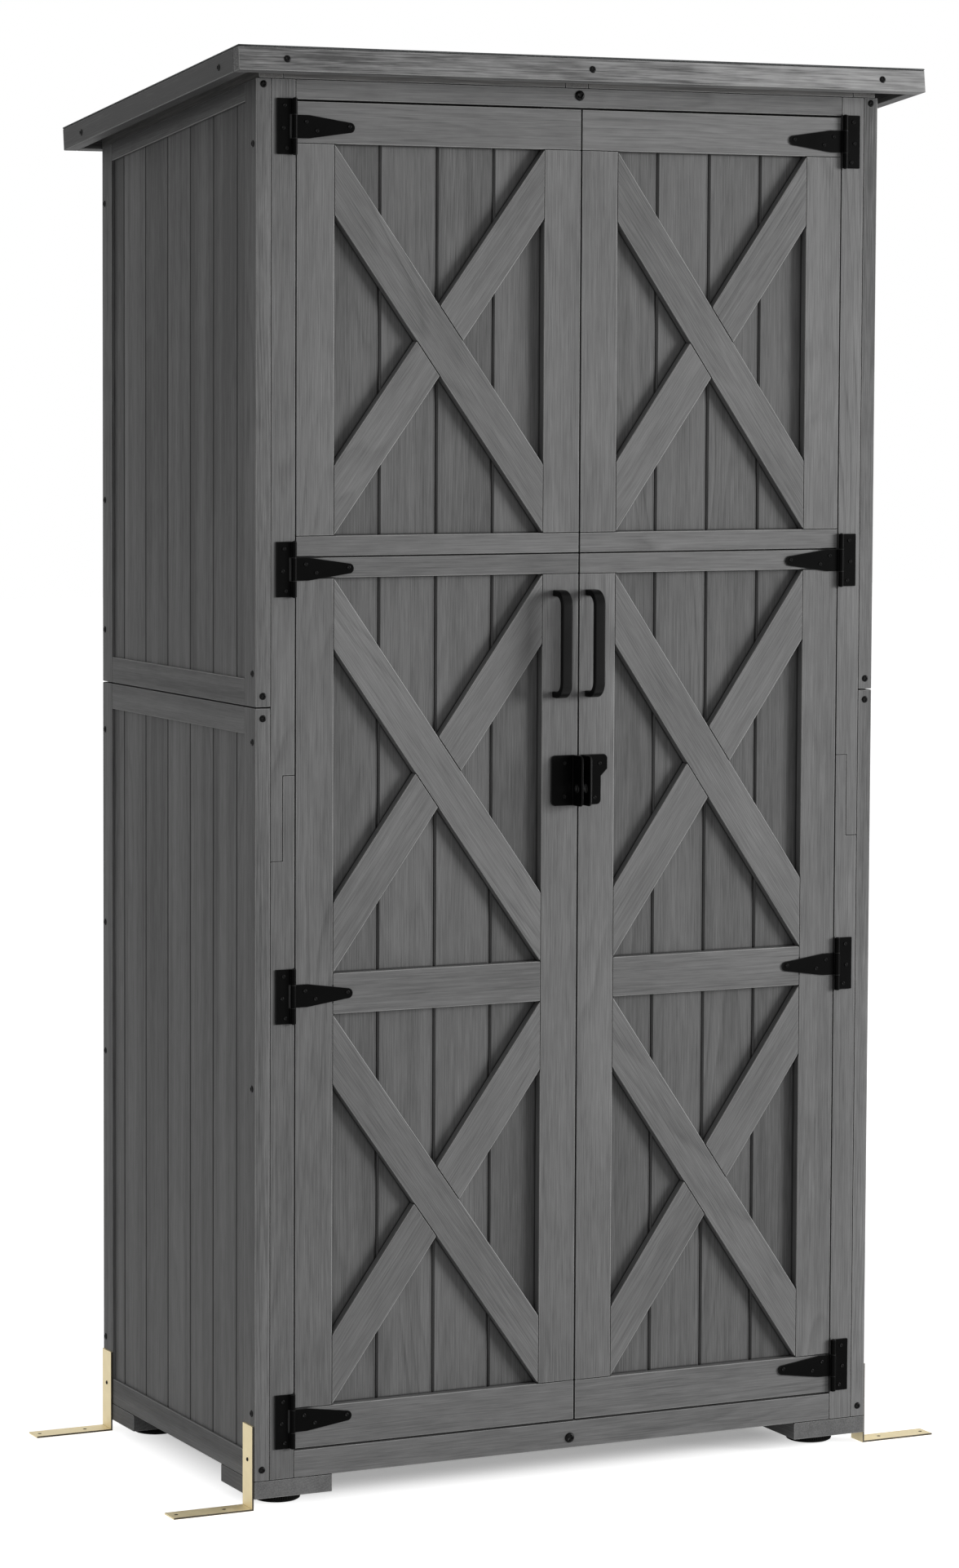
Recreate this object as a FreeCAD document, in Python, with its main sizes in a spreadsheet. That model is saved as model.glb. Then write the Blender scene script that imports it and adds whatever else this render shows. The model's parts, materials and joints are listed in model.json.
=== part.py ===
"""Tall garden storage cabinet: framed and boarded sides and back, two braced doors, lean-to roof.

Millimetres. X runs to the cabinet's right, Y to its rear, Z up. The origin lies on the ground
under the middle of the roof's outline.
"""
import FreeCAD, Part
import math
import os
import re
import Sketcher

Vector = FreeCAD.Vector

# Driving sizes: name, value, what it measures
SIZES = (
    ("body_width", 860, "over the two side panels"),
    ("body_depth", 505, "front face to rear face of the side panels"),
    ("wall_height", 1700, "underside of the side panels to the roof, at the front face"),
    ("side_thickness", 20, "side and back panel frames"),
    ("side_stile", 33, "stiles and plain rails of the side and back panels"),
    ("side_top_rail", 22, "sloping rail of the side panels"),
    ("panel_split", 945.5, "height of the lower side and back panels"),
    ("panel_split_gap", 1.2, "between lower and upper panels"),
    ("side_recess", 4, "panel face to side boards"),
    ("board_thickness", 8, "all wall and door boards"),
    ("board_pitch", 76, "nominal face width of a board"),
    ("side_board_width", 74.4, "face width of the side panels' boards"),
    ("door_bevel", 2.4, "bevel on the face edges of a door board"),
    ("wall_bevel", 1.2, "bevel on the face edges of a side or back board"),
    ("board_groove", 8, "how far boards enter a side or back frame"),
    ("lap_length", 6, "how far a board's rear half reaches behind the next board"),
    ("lap_play", 0.2, "between lapped boards"),
    ("jamb_width", 32, "front jambs, seen from the front"),
    ("jamb_lap_low", 759, "where the outer half of a jamb's lap joint is cut"),
    ("jamb_lap_length", 104, "length of the lap joint"),
    ("sill_height", 34, "front sill"),
    ("header_height", 24, "front header"),
    ("door_thickness", 20, "door frame members"),
    ("door_gap", 2, "door to sill and to header"),
    ("hinge_gap", 1, "door to jamb"),
    ("meeting_x", 7, "line between the doors, right of the cabinet's middle"),
    ("meeting_gap", 1.6, "between the two doors"),
    ("stop_gap", 0.5, "closed door to its stops"),
    ("lower_leaf", 1090.5, "height of a door's lower leaf"),
    ("leaf_joint", 1, "between the two leaves of a door"),
    ("door_stile", 50, "door stiles, main rails and braces"),
    ("door_seam_rail", 25, "rails on either side of the joint between leaves"),
    ("door_recess", 12, "frame face to door boards"),
    ("door_rebate", 12, "how far boards lie behind a door's frame"),
    ("brace_play", 0.3, "brace to its neighbours"),
    ("pin_inset", 3, "hinge pin to the jamb's inner edge"),
    ("barrel_radius", 3.3, "hinge knuckles"),
    ("barrel_gap", 0.4, "knuckles to the faces behind them"),
    ("pin_radius", 2, "hinge pins"),
    ("pin_play", 0.05, "pin to strap knuckle, on the radius"),
    ("leaf_metal", 1.8, "strap and plate metal"),
    ("plate_reach", 22.5, "hinge plate, from the pin"),
    ("plate_height", 67, "hinge plate"),
    ("plate_slit", 2, "slit between a hinge plate and the strap's knuckle"),
    ("plate_corner", 0.8, "bevel on the corners of a hinge plate"),
    ("strap_reach", 80, "hinge strap, from the pin"),
    ("strap_root", 28, "strap width at the knuckle"),
    ("strap_straight", 20, "parallel part of the strap"),
    ("strap_tip", 12.5, "strap width at the tip"),
    ("knuckle_gap", 0.3, "between knuckles along the pin"),
    ("bottom_hinge_rise", 35, "door's lower edge to the lowest strap"),
    ("top_hinge_drop", 30.5, "door's upper edge to the highest strap"),
    ("handle_length", 134, "door pull, over all"),
    ("handle_reach", 30, "door pull, out from the door"),
    ("handle_width", 14, "door pull bar, seen from the front"),
    ("handle_bar", 8, "door pull bar, front to back"),
    ("handle_bend", 20, "outer bend radius of the pull"),
    ("handle_left", 30, "left pull's centre to the line between the doors"),
    ("handle_right", 15.5, "right pull's centre to the line between the doors"),
    ("handle_drop", 112, "door joint down to the pulls' centre"),
    ("eye_height", 63, "padlock eye plates"),
    ("eye_width_left", 32, "left padlock eye plate"),
    ("eye_width_right", 27.5, "right padlock eye plate"),
    ("eye_reach", 27, "padlock eye ear, out from the door"),
    ("eye_metal", 2, "padlock eye metal"),
    ("eye_left", 6, "left ear's inner face to the line between the doors"),
    ("eye_right", 4, "right ear's inner face to the line between the doors"),
    ("eye_hole_radius", 5.5, "padlock hole"),
    ("eye_hole_rise", 21.5, "plate's lower edge to the padlock hole"),
    ("eye_hole_out", 13.5, "door face to the padlock hole"),
    ("eye_drop", 282.5, "door joint down to the eye plates' centre"),
    ("eye_corner", 6, "corner radius of the eye plates"),
    ("eye_tab", 9, "side tab of the right-hand eye plate"),
    ("eye_tab_rise", 35.5, "plate's lower edge to the tab"),
    ("mending_width", 24, "plates that join a door's leaves"),
    ("mending_length", 84, "plates that join a door's leaves"),
    ("mending_metal", 2, "plates that join a door's leaves"),
    ("foot_block_length", 104, "foot blocks, along the front"),
    ("foot_block_depth", 106, "foot blocks, front to back"),
    ("foot_block_height", 22, "foot blocks"),
    ("foot_pad_radius", 30, "round foot pads"),
    ("foot_pad_height", 14, "round foot pads"),
    ("bracket_width", 30, "ground brackets"),
    ("bracket_inset", 2, "side panel's front or rear edge to a ground bracket"),
    ("bracket_metal", 2.2, "ground brackets"),
    ("bracket_up", 104, "vertical leg of a ground bracket"),
    ("bracket_out", 105, "horizontal leg of a ground bracket"),
    ("bracket_hole_radius", 2.5, "holes in ground brackets"),
    ("bracket_hole_near", 33, "cabinet side to the near ground hole"),
    ("bracket_hole_far", 96, "cabinet side to the far ground hole"),
    ("bearer_width", 40, "floor bearers"),
    ("bearer_height", 22, "floor bearers"),
    ("floor_thickness", 12, "floor boards"),
    ("floor_pitch", 90, "nominal width of a floor board"),
    ("shelf_rise", 400, "one shelf to the next"),
    ("shelf_thickness", 15, "shelf slats"),
    ("slat_width", 80, "shelf slats"),
    ("slat_gap", 10, "least gap between shelf slats"),
    ("shelf_front", 45, "cabinet face to the first slat"),
    ("shelf_play", 1, "shelf to side panel"),
    ("batten_width", 20, "shelf battens"),
    ("batten_height", 30, "shelf battens"),
    ("stop_length", 80, "door stop blocks"),
    ("stop_depth", 20, "door stop blocks"),
    ("stop_height", 40, "upper door stop block"),
    ("stop_rise", 20, "lower door stop block"),
    ("roof_slope", 7.2, "degrees"),
    ("roof_length", 586, "roof panel, along the slope"),
    ("front_overhang", 48, "roof edge to cabinet face"),
    ("side_overhang", 42, "roof edge to side panel"),
    ("rafter_height", 16, "roof frame under the deck"),
    ("rafter_width", 32, "roof frame under the deck"),
    ("deck_thickness", 12, "roof boards"),
    ("deck_pitch", 79, "nominal width of a roof board"),
    ("felt_thickness", 2.4, "roofing felt"),
    ("fascia_thickness", 18, "boards round the roof's edge"),
    ("trim_margin", 100, "the block that trims the walls under the roof, past the walls"),
)

# Values worked out from the driving sizes
DERIVED = (
    ("roof_height", "rafter_height + deck_thickness + felt_thickness"),
    ("roof_plan", "roof_length * cos(roof_slope) + roof_height * sin(roof_slope)"),
    ("roof_width", "body_width + 2 * side_overhang"),
    ("front_y", "front_overhang - roof_plan / 2"),
    ("rear_y", "front_y + body_depth"),
    ("back_y", "rear_y - side_thickness"),
    ("base_z", "foot_pad_height + foot_block_height"),
    ("wall_top_z", "base_z + wall_height"),
    ("eave_z", "wall_top_z + front_overhang * tan(roof_slope)"),
    ("half", "body_width / 2"),
    ("inner_half", "half - side_thickness"),
    ("opening_half", "inner_half - jamb_width"),
    ("front_depth", "door_thickness + stop_gap"),
    ("sill_top_z", "base_z + sill_height"),
    ("header_z", "wall_top_z - header_height"),
    ("door_bottom_z", "sill_top_z + door_gap"),
    ("door_top_z", "header_z - door_gap"),
    ("leaf_top_z", "door_bottom_z + lower_leaf"),
    ("upper_leaf_z", "leaf_top_z + leaf_joint"),
    ("left_door_start", "hinge_gap - opening_half"),
    ("left_door_end", "meeting_x - meeting_gap / 2"),
    ("right_door_start", "meeting_x + meeting_gap / 2"),
    ("right_door_end", "opening_half - hinge_gap"),
    ("door_back_y", "front_y + door_thickness"),
    ("lower_cell", "(lower_leaf - 2 * door_stile - door_seam_rail) / 2"),
    ("upper_cell", "door_top_z - upper_leaf_z - door_stile - door_seam_rail"),
    ("middle_rail_z", "door_bottom_z + door_stile + lower_cell"),
    ("leaf_back", "barrel_radius + barrel_gap"),
    ("pin_x", "-opening_half - pin_inset"),
    ("pin_y", "front_y - leaf_back"),
    ("handle_z", "leaf_top_z - handle_drop"),
    ("eye_z", "leaf_top_z - eye_drop - eye_height / 2"),
    ("upper_panel_z", "base_z + panel_split + panel_split_gap"),
    ("floor_z", "sill_top_z"),
    ("bearer_z", "sill_top_z - floor_thickness - bearer_height"),
)

# How far the middle of a rounded corner lies in from the corner's sides, for a radius of one
ARC_MIDDLE = "(1 - sqrt(0.5))"

doc = FreeCAD.newDocument("GardenCabinet")
OWNER = {}
NODES = []


def write_sheet():
    """Fill the spreadsheet with the driving sizes, and a set of values derived from them."""
    sheet = doc.addObject("Spreadsheet::Sheet", "Sizes")
    for row, (name, value, note) in enumerate(SIZES, start=1):
        sheet.set(f"A{row}", name)
        sheet.set(f"B{row}", str(value))
        sheet.set(f"C{row}", note)
        sheet.setAlias(f"B{row}", name)
        OWNER[name] = "Sizes"
    doc.recompute()
    derived = doc.addObject("App::VarSet", "Derived")
    for name, text in DERIVED:
        derived.addProperty("App::PropertyFloat", name, "Derived", text)
        derived.setExpression(name, bound(text))
        OWNER[name] = "Derived"
    doc.recompute()
    return sheet


def bound(text):
    """Put the owning object before each size's name, so that text can bind a property."""
    def owned(word):
        name = word.group(0)
        return f"{OWNER[name]}.{name}" if name in OWNER else name
    return re.sub(r"[a-z_]+", owned, str(text))


def number(text):
    """The present value of an expression over the sizes."""
    found = doc.Sizes.evalExpression(bound(text))
    return float(getattr(found, "Value", found))


def count(length, pitch):
    """How many pieces of a nominal pitch fill a length."""
    return max(1, round(number(length) / number(pitch)))


def count_over(length, width):
    """How many pieces of a fixed width cover a length, the outer two cut down."""
    return math.ceil(number(length) / number(width))


def place(item, x, y, z):
    """Bind an object's position to three expressions."""
    for axis, text in zip("xyz", (x, y, z)):
        item.setExpression(f"Placement.Base.{axis}", bound(text))


def turn(item, axis, degrees):
    """Turn an object about an axis through its own origin."""
    item.Placement = FreeCAD.Placement(Vector(), FreeCAD.Rotation(axis, degrees))


def block(name, x, y, z, length, depth, height):
    """A squared piece of timber with one corner at x, y, z."""
    item = doc.addObject("Part::Box", name)
    for size, text in zip(("Length", "Width", "Height"), (length, depth, height)):
        item.setExpression(size, bound(text))
    place(item, x, y, z)
    return item


def cut(name, base, tool):
    """One solid less another."""
    item = doc.addObject("Part::Cut", name)
    item.Base = base
    item.Tool = tool
    return item


def common(name, base, tool):
    """What two solids share."""
    item = doc.addObject("Part::Common", name)
    item.Base = base
    item.Tool = tool
    return item


def copy_at(name, source, x, y, z):
    """A linked copy of a piece, moved to its place."""
    item = doc.addObject("App::Link", name)
    item.LinkedObject = source
    place(item, x, y, z)
    return item


def node(label, pieces):
    """Group the solids of one sub-part under its name."""
    item = doc.addObject("Part::Compound", f"Node_{label}")
    item.Label = label
    item.Links = pieces
    NODES.append(item)
    return item


def mirrored(label, source):
    """The right-hand twin of a left-hand sub-part."""
    item = doc.addObject("Part::Mirroring", f"Node_{label}")
    item.Label = label
    item.Source = source
    item.Normal = Vector(1, 0, 0)
    NODES.append(item)
    return item


def new_body(name):
    """An empty body for a piece made from sketches."""
    return doc.addObject("PartDesign::Body", name)


def new_sketch(body, role, offset="0"):
    """A sketch on one of the body's own planes, moved along the plane's normal."""
    sketch = body.newObject("Sketcher::SketchObject", f"{body.Name}_Sketch")
    plane = next(item for item in body.Origin.OriginFeatures if item.Role == role)
    sketch.AttachmentSupport = [(plane, "")]
    sketch.MapMode = "FlatFace"
    sketch.setExpression("AttachmentOffset.Base.z", bound(offset))
    return sketch


def fix_point(sketch, geometry, corner, point):
    """Dimension one point of a sketch from the origin."""
    for kind, text in zip(("DistanceX", "DistanceY"), point):
        value = number(text)
        index = sketch.addConstraint(Sketcher.Constraint(kind, -1, 1, geometry, corner, value))
        name = f"{kind}_{geometry}_{corner}"
        sketch.renameConstraint(index, name)
        sketch.setExpression(f"Constraints.{name}", bound(text))


def draw_outline(sketch, points):
    """A closed outline through points. A point given as (x, y, x2, y2) starts an arc through x2, y2."""
    places = [Vector(number(point[0]), number(point[1]), 0) for point in points]
    for index, point in enumerate(points):
        here = places[index]
        after = places[(index + 1) % len(points)]
        if len(point) == 4:
            middle = Vector(number(point[2]), number(point[3]), 0)
            arc = Part.Arc(here, middle, after)
            sketch.addGeometry(arc, False)
        else:
            sketch.addGeometry(Part.LineSegment(here, after), False)
    for index, point in enumerate(points):
        following = (index + 1) % len(points)
        ends = arc_ends(sketch, index, places[index])
        next_start = arc_ends(sketch, following, places[following])[0]
        sketch.addConstraint(Sketcher.Constraint("Coincident", index, ends[1], following, next_start))
        fix_point(sketch, index, ends[0], point[:2])
        if len(point) == 4:
            fix_radius(sketch, index, point, points[following])


def arc_ends(sketch, index, start):
    """Which end of a piece of outline is its start: arcs always run anticlockwise."""
    first = sketch.getPoint(index, 1)
    return (1, 2) if first.distanceToPoint(start) < 1e-4 else (2, 1)


def fix_radius(sketch, index, point, after):
    """Bind an arc's radius, from its start, the point it passes and its end."""
    radius = sketch.Geometry[index].Radius
    chord = f"hypot(({point[0]}) - ({after[0]}); ({point[1]}) - ({after[1]})) / 2"
    if abs(number(chord) - radius) < 1e-4:
        return
    middle = [f"(({point[axis]}) + ({after[axis]})) / 2" for axis in (0, 1)]
    rise = f"hypot(({point[2]}) - {middle[0]}; ({point[3]}) - {middle[1]})"
    constraint = sketch.addConstraint(Sketcher.Constraint("Radius", index, radius))
    sketch.renameConstraint(constraint, f"Radius_{index}")
    formula = f"(({chord}) ^ 2 + ({rise}) ^ 2) / (2 * ({rise}))"
    sketch.setExpression(f"Constraints.Radius_{index}", bound(formula))


def draw_circle(sketch, x, y, radius):
    """A dimensioned circle."""
    centre = Vector(number(x), number(y), 0)
    index = sketch.addGeometry(Part.Circle(centre, Vector(0, 0, 1), number(radius)), False)
    fix_point(sketch, index, 3, (x, y))
    constraint = sketch.addConstraint(Sketcher.Constraint("Radius", index, number(radius)))
    sketch.renameConstraint(constraint, f"Radius_{index}")
    sketch.setExpression(f"Constraints.Radius_{index}", bound(radius))


def pad(body, sketch, length, centred=False):
    """Thicken a sketch into the body."""
    feature = body.newObject("PartDesign::Pad", f"{body.Name}_Pad")
    feature.Profile = sketch
    feature.setExpression("Length", bound(length))
    feature.Midplane = centred
    return feature


def pocket_through(body, sketch):
    """Cut a sketch through the whole body, both ways."""
    feature = body.newObject("PartDesign::Pocket", f"{body.Name}_Pocket")
    feature.Profile = sketch
    feature.Type = "ThroughAll"
    feature.Midplane = True
    return feature


def plate(name, role, points, length, centred=False, offset="0"):
    """A body with one padded outline."""
    body = new_body(name)
    sketch = new_sketch(body, role, offset)
    draw_outline(sketch, points)
    pad(body, sketch, length, centred)
    return body


# The roof's underside, and what it trims
def under_roof(y, drop="0"):
    """Height of the roof's underside at y, less a vertical drop."""
    return f"(wall_top_z - (({y}) - front_y) * tan(roof_slope) - ({drop}))"


def above_roof_line(name):
    """A large block over the roof's underside, used to trim what stands under the roof."""
    near = "front_y - trim_margin"
    far = "rear_y + trim_margin"
    top = "wall_top_z + trim_margin"
    points = ((near, under_roof(near)), (far, under_roof(far)), (far, top), (near, top))
    return plate(name, "YZ_Plane", points, "body_width + 2 * trim_margin", centred=True)


# Boards
def board(name, width, length, bevel, first, last):
    """A half-lapped board: face edges bevelled, rear half reaching on at +X, face to -Y."""
    points = [(bevel, "0"), (f"{width} - {bevel}", "0"), (width, bevel)]
    if not last:
        points.append((width, "board_thickness / 2 + lap_play"))
        points.append((f"{width} + lap_length", "board_thickness / 2 + lap_play"))
        points.append((f"{width} + lap_length", "board_thickness"))
    else:
        points.append((width, "board_thickness"))
    if not first:
        points.append(("lap_length + lap_play", "board_thickness"))
        points.append(("lap_length + lap_play", "board_thickness / 2"))
        points.append(("0", "board_thickness / 2"))
    else:
        points.append(("0", "board_thickness"))
    points.append(("0", bevel))
    return plate(name, "XY_Plane", points, length)


def boarding(name, total, width, length, bevel, steps, degrees=0):
    """Boards side by side. steps gives the x, y, z of a distance along the row."""
    boards = []
    for index in range(total):
        source = board(f"{name}_Board{index}", width, length, bevel, index == 0, index == total - 1)
        turn(source, Vector(0, 0, 1), degrees)
        place(source, *steps(f"{index} * {width}"))
        boards.append(source)
    return boards


# Side and back panels
def side_panel(level):
    """Left side panel, lower or upper: two stiles and two rails grooved for upright boards."""
    upper = level == "upper"
    name = f"Side_{level}"
    bottom = "upper_panel_z" if upper else "base_z"
    top = "wall_top_z" if upper else "(base_z + panel_split)"
    rise = f"{top} - {bottom}"
    stile_rear = "rear_y - side_stile"
    between = "body_depth - 2 * side_stile"
    groove_x = "side_recess - half"
    low = f"{bottom} + side_stile - board_groove"
    near = "front_y + side_stile - board_groove"
    far = "rear_y - side_stile + board_groove"
    drop = "(side_top_rail - board_groove) / cos(roof_slope)"
    members = [
        block(f"{name}_FrontStile", "-half", "front_y", bottom, "side_thickness", "side_stile", rise),
        block(f"{name}_RearStile", "-half", stile_rear, bottom, "side_thickness", "side_stile", rise),
        block(f"{name}_BottomRail", "-half", "front_y + side_stile", bottom, "side_thickness", between,
              "side_stile"),
    ]
    if upper:
        rail_drop = "side_top_rail / cos(roof_slope)"
        inner_near = "front_y + side_stile"
        inner_far = "rear_y - side_stile"
        corners = ((inner_near, under_roof(inner_near, rail_drop)),
                   (inner_far, under_roof(inner_far, rail_drop)),
                   (inner_far, under_roof(inner_far)), (inner_near, under_roof(inner_near)))
        top_rail = plate(f"{name}_TopRail", "YZ_Plane", corners, "side_thickness")
        place(top_rail, "-half", "0", "0")
        members[:2] = [cut(f"{item.Name}_Trimmed", item, ROOF_LINE) for item in members[:2]]
        members.append(top_rail)
        field_top = ((far, under_roof(far, drop)), (near, under_roof(near, drop)))
    else:
        members.append(block(f"{name}_TopRail", "-half", "front_y + side_stile", f"{top} - side_stile",
                             "side_thickness", between, "side_stile"))
        high = f"{top} - side_stile + board_groove"
        field_top = ((far, high), (near, high))
    field = plate(f"{name}_Field", "YZ_Plane", ((near, low), (far, low)) + field_top, "board_thickness")
    place(field, groove_x, "0", "0")
    frame = [cut(f"{item.Name}_Grooved", item, field) for item in members]
    cover = "(body_depth - 2 * side_stile + 2 * board_groove)"
    total = count_over(cover, "side_board_width")
    spare = f"({total} * side_board_width - {cover}) / 2"
    boards = boarding(name, total, "side_board_width", f"{rise} - side_stile + board_groove", "wall_bevel",
                      lambda along: (groove_x, f"{far} + {spare} - {along}", low), degrees=-90)
    boards = [common(f"{item.Name}_Fitted", item, field) for item in boards]
    frame_node = node(f"left_side_{level}_frame", frame)
    board_node = node(f"left_side_{level}_boards", boards)
    mirrored(f"right_side_{level}_frame", frame_node)
    mirrored(f"right_side_{level}_boards", board_node)


def back_panel(level):
    """Back panel between the sides, lower or upper, boards facing the rear."""
    upper = level == "upper"
    name = f"Back_{level}"
    bottom = "upper_panel_z" if upper else "base_z"
    top = f"({under_roof('rear_y')})" if upper else "(base_z + panel_split)"
    rise = f"{top} - {bottom}"
    tall = f"{rise} + side_thickness"
    inner = "side_stile - inner_half"
    members = [
        block(f"{name}_LeftStile", "-inner_half", "back_y", bottom, "side_stile", "side_thickness",
              tall if upper else rise),
        block(f"{name}_RightStile", "inner_half - side_stile", "back_y", bottom, "side_stile",
              "side_thickness", tall if upper else rise),
        block(f"{name}_BottomRail", inner, "back_y", bottom, "2 * (inner_half - side_stile)",
              "side_thickness", "side_stile"),
        block(f"{name}_TopRail", inner, "back_y", f"{top} - side_stile", "2 * (inner_half - side_stile)",
              "side_thickness", "side_stile + side_thickness" if upper else "side_stile"),
    ]
    if upper:
        members = [cut(f"{item.Name}_Trimmed", item, ROOF_LINE) for item in members]
    cover = "(2 * (inner_half - side_stile + board_groove))"
    length = f"{rise} - 2 * (side_stile - board_groove)"
    low = f"{bottom} + side_stile - board_groove"
    field = block(f"{name}_Field", f"-{cover} / 2", "rear_y - side_recess - board_thickness", low,
                  cover, "board_thickness", length)
    frame = [cut(f"{item.Name}_Grooved", item, field) for item in members]
    total = count(cover, "board_pitch")
    boards = boarding(name, total, f"({cover} / {total})", length, "wall_bevel",
                      lambda along: (f"{cover} / 2 - {along}", "rear_y - side_recess", low), degrees=180)
    node(f"back_{level}_frame", frame)
    node(f"back_{level}_boards", boards)


# Front frame
def jambs():
    """Front jambs, each in two lengths joined by a half lap."""
    outer = "-inner_half"
    middle = "jamb_width / 2 - inner_half"
    inner = "-opening_half"
    low = "base_z + jamb_lap_low"
    high = "base_z + jamb_lap_low + jamb_lap_length"
    top = "wall_top_z"
    lower_points = ((outer, "base_z"), (inner, "base_z"), (inner, high), (middle, high), (middle, low),
                    (outer, low))
    upper_points = ((outer, low), (middle, low), (middle, high), (inner, high), (inner, top),
                    (outer, top))
    lower = plate("Jamb_Lower", "XZ_Plane", lower_points, "front_depth")
    upper = plate("Jamb_Upper", "XZ_Plane", upper_points, "front_depth")
    for item in (lower, upper):
        place(item, "0", "front_y + front_depth", "0")
    left = node("left_jamb", [lower, cut("Jamb_Upper_Trimmed", upper, ROOF_LINE)])
    mirrored("right_jamb", left)


def sill_and_header():
    """The rails under and over the doors, each with a stop block behind its middle."""
    stop_y = "front_y + front_depth"
    node("sill_rail", [block("Sill", "-opening_half", "front_y", "base_z", "2 * opening_half",
                             "front_depth", "sill_height")])
    header = block("Header", "-opening_half", "front_y", "header_z", "2 * opening_half", "front_depth",
                   "header_height")
    node("header_rail", [cut("Header_Trimmed", header, ROOF_LINE)])
    upper = block("Stop_Upper", "-stop_length / 2", stop_y,
                  f"{under_roof('front_y + front_depth + stop_depth')} - stop_height",
                  "stop_length", "stop_depth", "stop_height")
    lower = block("Stop_Lower", "-stop_length / 2", stop_y, "floor_z", "stop_length", "stop_depth",
                  "stop_rise")
    node("door_stops", [upper, lower])


# Doors
def leaf(side, level):
    """One leaf of a door: rebated frame, boards behind it, and braces on the boards."""
    upper = level == "upper"
    name = f"Leaf_{side}_{level}"
    start, end = f"{side}_door_start", f"{side}_door_end"
    cell = (f"({start} + door_stile)", f"({end} - door_stile)")
    bottom = "upper_leaf_z" if upper else "door_bottom_z"
    top = "door_top_z" if upper else "leaf_top_z"
    low_rail = "door_seam_rail" if upper else "door_stile"
    high_rail = "door_stile" if upper else "door_seam_rail"
    cell_bottoms = [f"{bottom} + {low_rail}"] if upper else [f"{bottom} + {low_rail}",
                                                            "middle_rail_z + door_stile"]
    cell_height = "upper_cell" if upper else "lower_cell"
    stile_z = f"{bottom} + {low_rail}"
    stile_height = f"{top} - {bottom} - {low_rail} - {high_rail}"
    width = f"{end} - {start}"
    members = [
        block(f"{name}_LeftStile", start, "front_y", stile_z, "door_stile", "door_thickness",
              stile_height),
        block(f"{name}_RightStile", cell[1], "front_y", stile_z, "door_stile", "door_thickness",
              stile_height),
        block(f"{name}_BottomRail", start, "front_y", bottom, width, "door_thickness", low_rail),
        block(f"{name}_TopRail", start, "front_y", f"{top} - {high_rail}", width, "door_thickness",
              high_rail),
    ]
    if not upper:
        members.append(block(f"{name}_MiddleRail", cell[0], "front_y", "middle_rail_z",
                             f"{cell[1]} - {cell[0]}", "door_thickness", "door_stile"))
    field_z = f"{stile_z} - door_rebate"
    field_height = f"{stile_height} + 2 * door_rebate"
    cover = f"({cell[1]} - {cell[0]} + 2 * door_rebate)"
    field = block(f"{name}_Field", f"{cell[0]} - door_rebate", "front_y + door_recess", field_z, cover,
                  "door_thickness", field_height)
    frame = [cut(f"{item.Name}_Rebated", item, field) for item in members]
    total = count(cover, "board_pitch")
    boards = boarding(name, total, f"({cover} / {total})", field_height, "door_bevel",
                      lambda along: (f"{cell[0]} - door_rebate + {along}", "front_y + door_recess",
                                     field_z))
    braces = []
    for index, cell_z in enumerate(cell_bottoms):
        braces += brace_pair(f"{name}_Brace{index}", cell, cell_z, cell_height)
    for kind, pieces in (("frame", frame), ("boards", boards), ("braces", braces)):
        node(f"{side}_door_{level}_{kind}", pieces)


def brace_pair(name, cell, cell_z, cell_height):
    """The crossed braces of one door cell: one whole, the other in two lengths butted against it."""
    left, right = cell
    wide = f"({right} - {left})"
    diagonal = f"hypot({wide}; {cell_height})"
    slant = f"(acos(door_stile / {diagonal}) - atan({wide} / ({cell_height})))"
    end_cut = f"(door_stile / cos({slant}))"
    low, high = f"({cell_z})", f"({cell_z} + {cell_height})"
    falling = ((left, high), (left, f"{high} - {end_cut}"), (right, low), (right, f"{low} + {end_cut}"))
    rising = ((left, low), (right, f"{high} - {end_cut}"), (right, high), (left, f"{low} + {end_cut}"))
    play = f"(brace_play / cos({slant}))"
    slot = ((left, f"{high} + {play}"), (left, f"{high} - {end_cut} - {play}"), (right, f"{low} - {play}"),
            (right, f"{low} + {end_cut} + {play}"))
    whole = plate(f"{name}_Falling", "XZ_Plane", falling, "door_recess")
    split = plate(f"{name}_Rising", "XZ_Plane", rising, "door_recess")
    clear = plate(f"{name}_Slot", "XZ_Plane", slot, "door_recess")
    for item in (whole, split, clear):
        place(item, "0", "front_y + door_recess", "0")
    return [whole, cut(f"{name}_Rising_Split", split, clear)]


# Hinges
def knuckle(body, low, high, radius):
    """A rolled knuckle, or the pin itself, on the hinge's axis from one height to another."""
    sketch = new_sketch(body, "XY_Plane", low)
    draw_circle(sketch, "0", "0", radius)
    pad(body, sketch, f"({high}) - ({low})")


def strap():
    """Hinge strap: a bored knuckle, a parallel root and a long taper to a round tip."""
    body = new_body("Strap")
    sketch = new_sketch(body, "XZ_Plane", "-leaf_back")
    root = "strap_root / 2"
    tip = "strap_tip / 2"
    tip_x = "strap_reach - strap_tip / 2"
    draw_outline(sketch, (("0", f"-{root}"), ("strap_straight", f"-{root}"),
                          (tip_x, f"-{tip}", "strap_reach", "0"), (tip_x, tip),
                          ("strap_straight", root), ("0", root)))
    pad(body, sketch, "leaf_metal")
    knuckle(body, f"-{root}", root, "barrel_radius")
    bore = new_sketch(body, "XY_Plane")
    draw_circle(bore, "0", "0", "pin_radius + pin_play")
    pocket_through(body, bore)
    return body


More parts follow.
